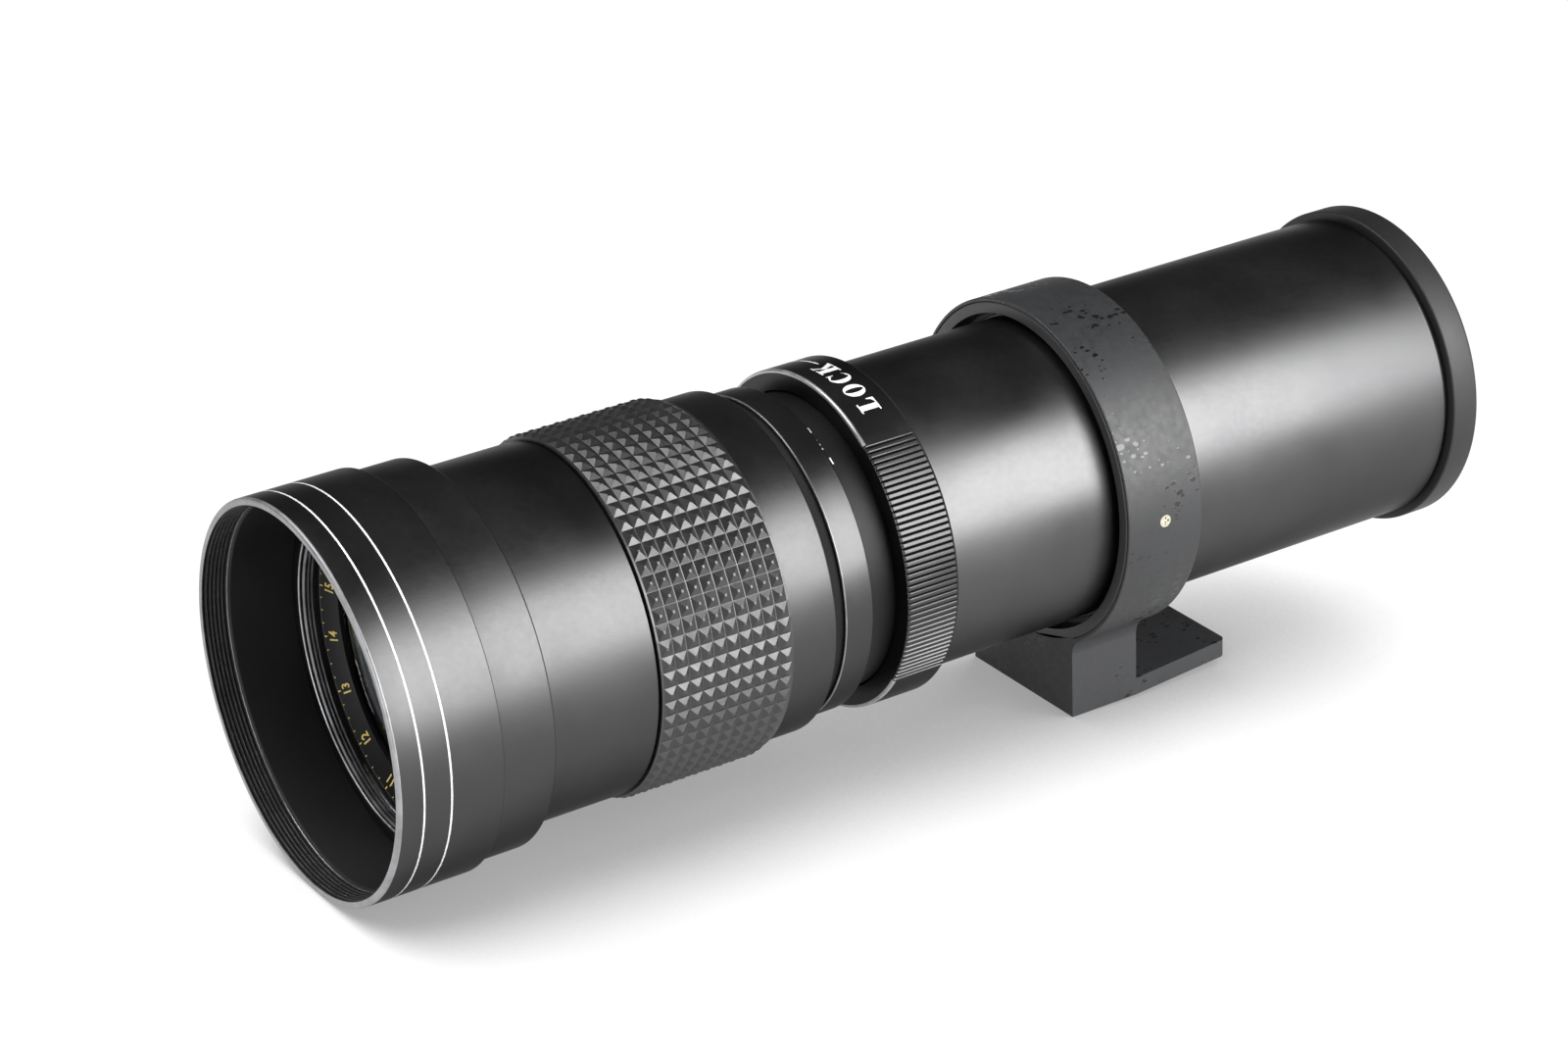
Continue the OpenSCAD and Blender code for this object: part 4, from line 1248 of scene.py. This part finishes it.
def make_bush():
    """Threaded tripod bush in the foot, upright."""
    low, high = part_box("tripod_bush")
    axis_y = centre_y("tripod_bush")
    outer = high.x

    def upright(r, z, angle):
        """Point at a radius and an angle round the bush's own axis."""
        return (r * math.cos(angle), axis_y + r * math.sin(angle), z)

    bush = spun("tripod_bush_turned", [
        (BUSH_BORE_R, low.z, 0.15), (outer, low.z, 0.15), (outer, high.z), (BUSH_BORE_R, high.z),
    ], "tripod_collar", [turned_metal], angles=stations(BUSH_STATIONS), place=upright)
    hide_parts("tripod_bush")
    turns = (high.z - low.z - BUSH_PITCH) / BUSH_PITCH
    start = low.z + BUSH_PITCH * RIDGE_HALF_SHARE + BUSH_LEAD
    crest_r = BUSH_BORE_R - BUSH_THREAD_DEPTH
    thread_ridge("tripod_thread_turns", BUSH_BORE_R + ROOT_SINK, BUSH_BORE_R, crest_r, start, turns,
                 BUSH_PITCH, "tripod_collar", turned_metal,
                 per_turn=BUSH_STATIONS, fade=10, flat_share=0, place=upright)


# Carried-over pieces

def finish_inner_pieces():
    """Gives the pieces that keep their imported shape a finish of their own."""
    for material, nodes in (
        (inner_black, "front_cell front_cell_ring stop_sleeve rear_cell rear_spacer rear_cell_ring"),
        (dead_black_and_painted_shade, "front_baffle draw_baffles lock_collet"),
        (black_felt, "hood_felt draw_slide_ring"),
        (inner_glass, "rear_front_lens rear_middle_lens"),
        (front_glass, "rear_back_lens"),
        (turned_metal, "focus_retaining_ring"),
        (turned_brass, "guide_key"),
        (nickel_metal, "collar_screws"),
    ):
        for node in nodes.split():
            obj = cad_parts[node]
            obj.data.materials.clear()
            obj.data.materials.append(material)


# Studio

PHOTO_W = 1600
FOCAL_PX = 4362
SENSOR = 36
CAMERA_PLACE = Vector((0.59483, -0.51485, 0.34081))
CAMERA_RIGHT = Vector((0.54859, 0.83522, -0.03819))
CAMERA_UP = Vector((-0.34152, 0.26554, 0.90159))
FLOOR_TONE = (0.08, 0.08, 0.08)
FLOOR_HALF = 4.0
SHADOW_REACH = 0.056
SHADOW_CURVE = (0.3, 0.68, 0.33, 0.97)
SKY_CURVE = (0.0, 0.3, 0.35, 0.09)
LAMP_AIM = Vector((0, -0.12, 0))
LAMPS = (
    ("key_wide", Vector((0.795, 0.41, 0.415)), 1.3, (1.15, 1.35), 14.5),
    ("key_core", Vector((0.81, 0.42, 0.37)), 1.25, (1.05, 0.95), 20.5),
    ("top_light", Vector((-0.32, -0.38, 0.87)), 1.6, (1.1, 1.1), 16),
    ("front_fill", Vector((0.25, -0.95, 0.18)), 1.5, (0.6, 0.6), 9),
)


def make_camera():
    """Camera at the photograph's place and angle."""
    data = bpy.data.cameras.new("photo_camera")
    data.sensor_width = SENSOR
    data.lens = FOCAL_PX / PHOTO_W * SENSOR
    data.clip_start = 0.01
    data.clip_end = 50
    camera = add_object("photo_camera", data)
    right = CAMERA_RIGHT.normalized()
    backward = right.cross(CAMERA_UP).normalized()
    up = backward.cross(right)
    turn = Matrix((right, up, backward)).transposed()
    camera.matrix_world = Matrix.Translation(CAMERA_PLACE) @ turn.to_4x4()
    bpy.context.scene.camera = camera


def make_lamp(name, direction, distance, size, power):
    """Soft rectangular lamp that looks at the lens from a direction."""
    data = bpy.data.lights.new(name, "AREA")
    data.shape = "RECTANGLE"
    data.size, data.size_y = size
    data.energy = power
    lamp = add_object(name, data)
    lamp.location = LAMP_AIM + direction.normalized() * distance
    lamp.rotation_mode = "QUATERNION"
    lamp.rotation_quaternion = direction.to_track_quat("Z", "Y")


def floor_paper():
    """Paper that camera, mirror and glass rays see white, shaded where something is close over it."""
    s = Shader("floor_white", FLOOR_TONE, 0.8, specular=0.1)
    near = s.node("ShaderNodeAmbientOcclusion")
    near.inputs["Distance"].default_value = SHADOW_REACH
    shade = s.remap(near.outputs["AO"], *SHADOW_CURVE)
    rays = s.node("ShaderNodeLightPath").outputs
    seen = s.math("MAXIMUM", rays["Is Camera Ray"],
                  s.math("MAXIMUM", rays["Is Glossy Ray"], rays["Is Transmission Ray"]))
    glow = s.node("ShaderNodeEmission")
    glow.inputs["Color"].default_value = (1, 1, 1, 1)
    s.link(s.math("MULTIPLY", seen, shade), glow, "Strength")
    both = s.node("ShaderNodeAddShader")
    s.link(s.shader.outputs[0], both, 0)
    s.link(glow.outputs[0], both, 1)
    s.link(both.outputs[0], s.tree.nodes["Material Output"], "Surface")
    return s.material


def make_floor():
    """Plain pale floor under the hood's rim and the foot's front edge, tilted as the lens lies.

    Ahead of the rim it runs level with the lens, so that the drawn-out hood slides along it."""
    rim_y = front("hood_shell")
    rim_z = -radius("hood_shell")
    foot_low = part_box("tripod_collar")[0]
    slope = (foot_low.z - rim_z) / (foot_low.y - rim_y)
    touch_z = rim_z - CLEARANCE
    points = []
    back_z = touch_z + slope * (FLOOR_HALF - rim_y)
    for y, z in ((-FLOOR_HALF, touch_z), (rim_y, touch_z), (FLOOR_HALF, back_z)):
        points += [(-FLOOR_HALF, y, z), (FLOOR_HALF, y, z)]
    floor = add_mesh("floor", points, [(0, 1, 3, 2), (2, 3, 5, 4)])
    floor.data.materials.append(floor_paper())


def make_world():
    """Soft surround: mid gray round the horizon and below it, falling to dark gray overhead."""
    world = bpy.data.worlds.new("studio")
    bpy.context.scene.world = world
    sky = Nodes(world)
    split = sky.node("ShaderNodeSeparateXYZ")
    sky.link(sky.node("ShaderNodeTexCoord").outputs["Generated"], split, 0)
    background = sky.tree.nodes["Background"]
    background.inputs["Color"].default_value = (1, 1, 1, 1)
    sky.link(sky.remap(split.outputs["Z"], *SKY_CURVE, smooth=True), background, "Strength")


def make_studio():
    """Floor, surround, lamps and view settings."""
    make_floor()
    make_world()
    for lamp in LAMPS:
        make_lamp(*lamp)
    bpy.context.scene.view_settings.view_transform = "Standard"


make_hood()
make_front_barrel()
make_name_ring()
make_glass()
make_focus_sleeve()
make_grip()
make_draw_tube()
make_lock_ring()
make_main_tube()
make_collar()
make_bush()
finish_inner_pieces()
make_camera()
make_studio()
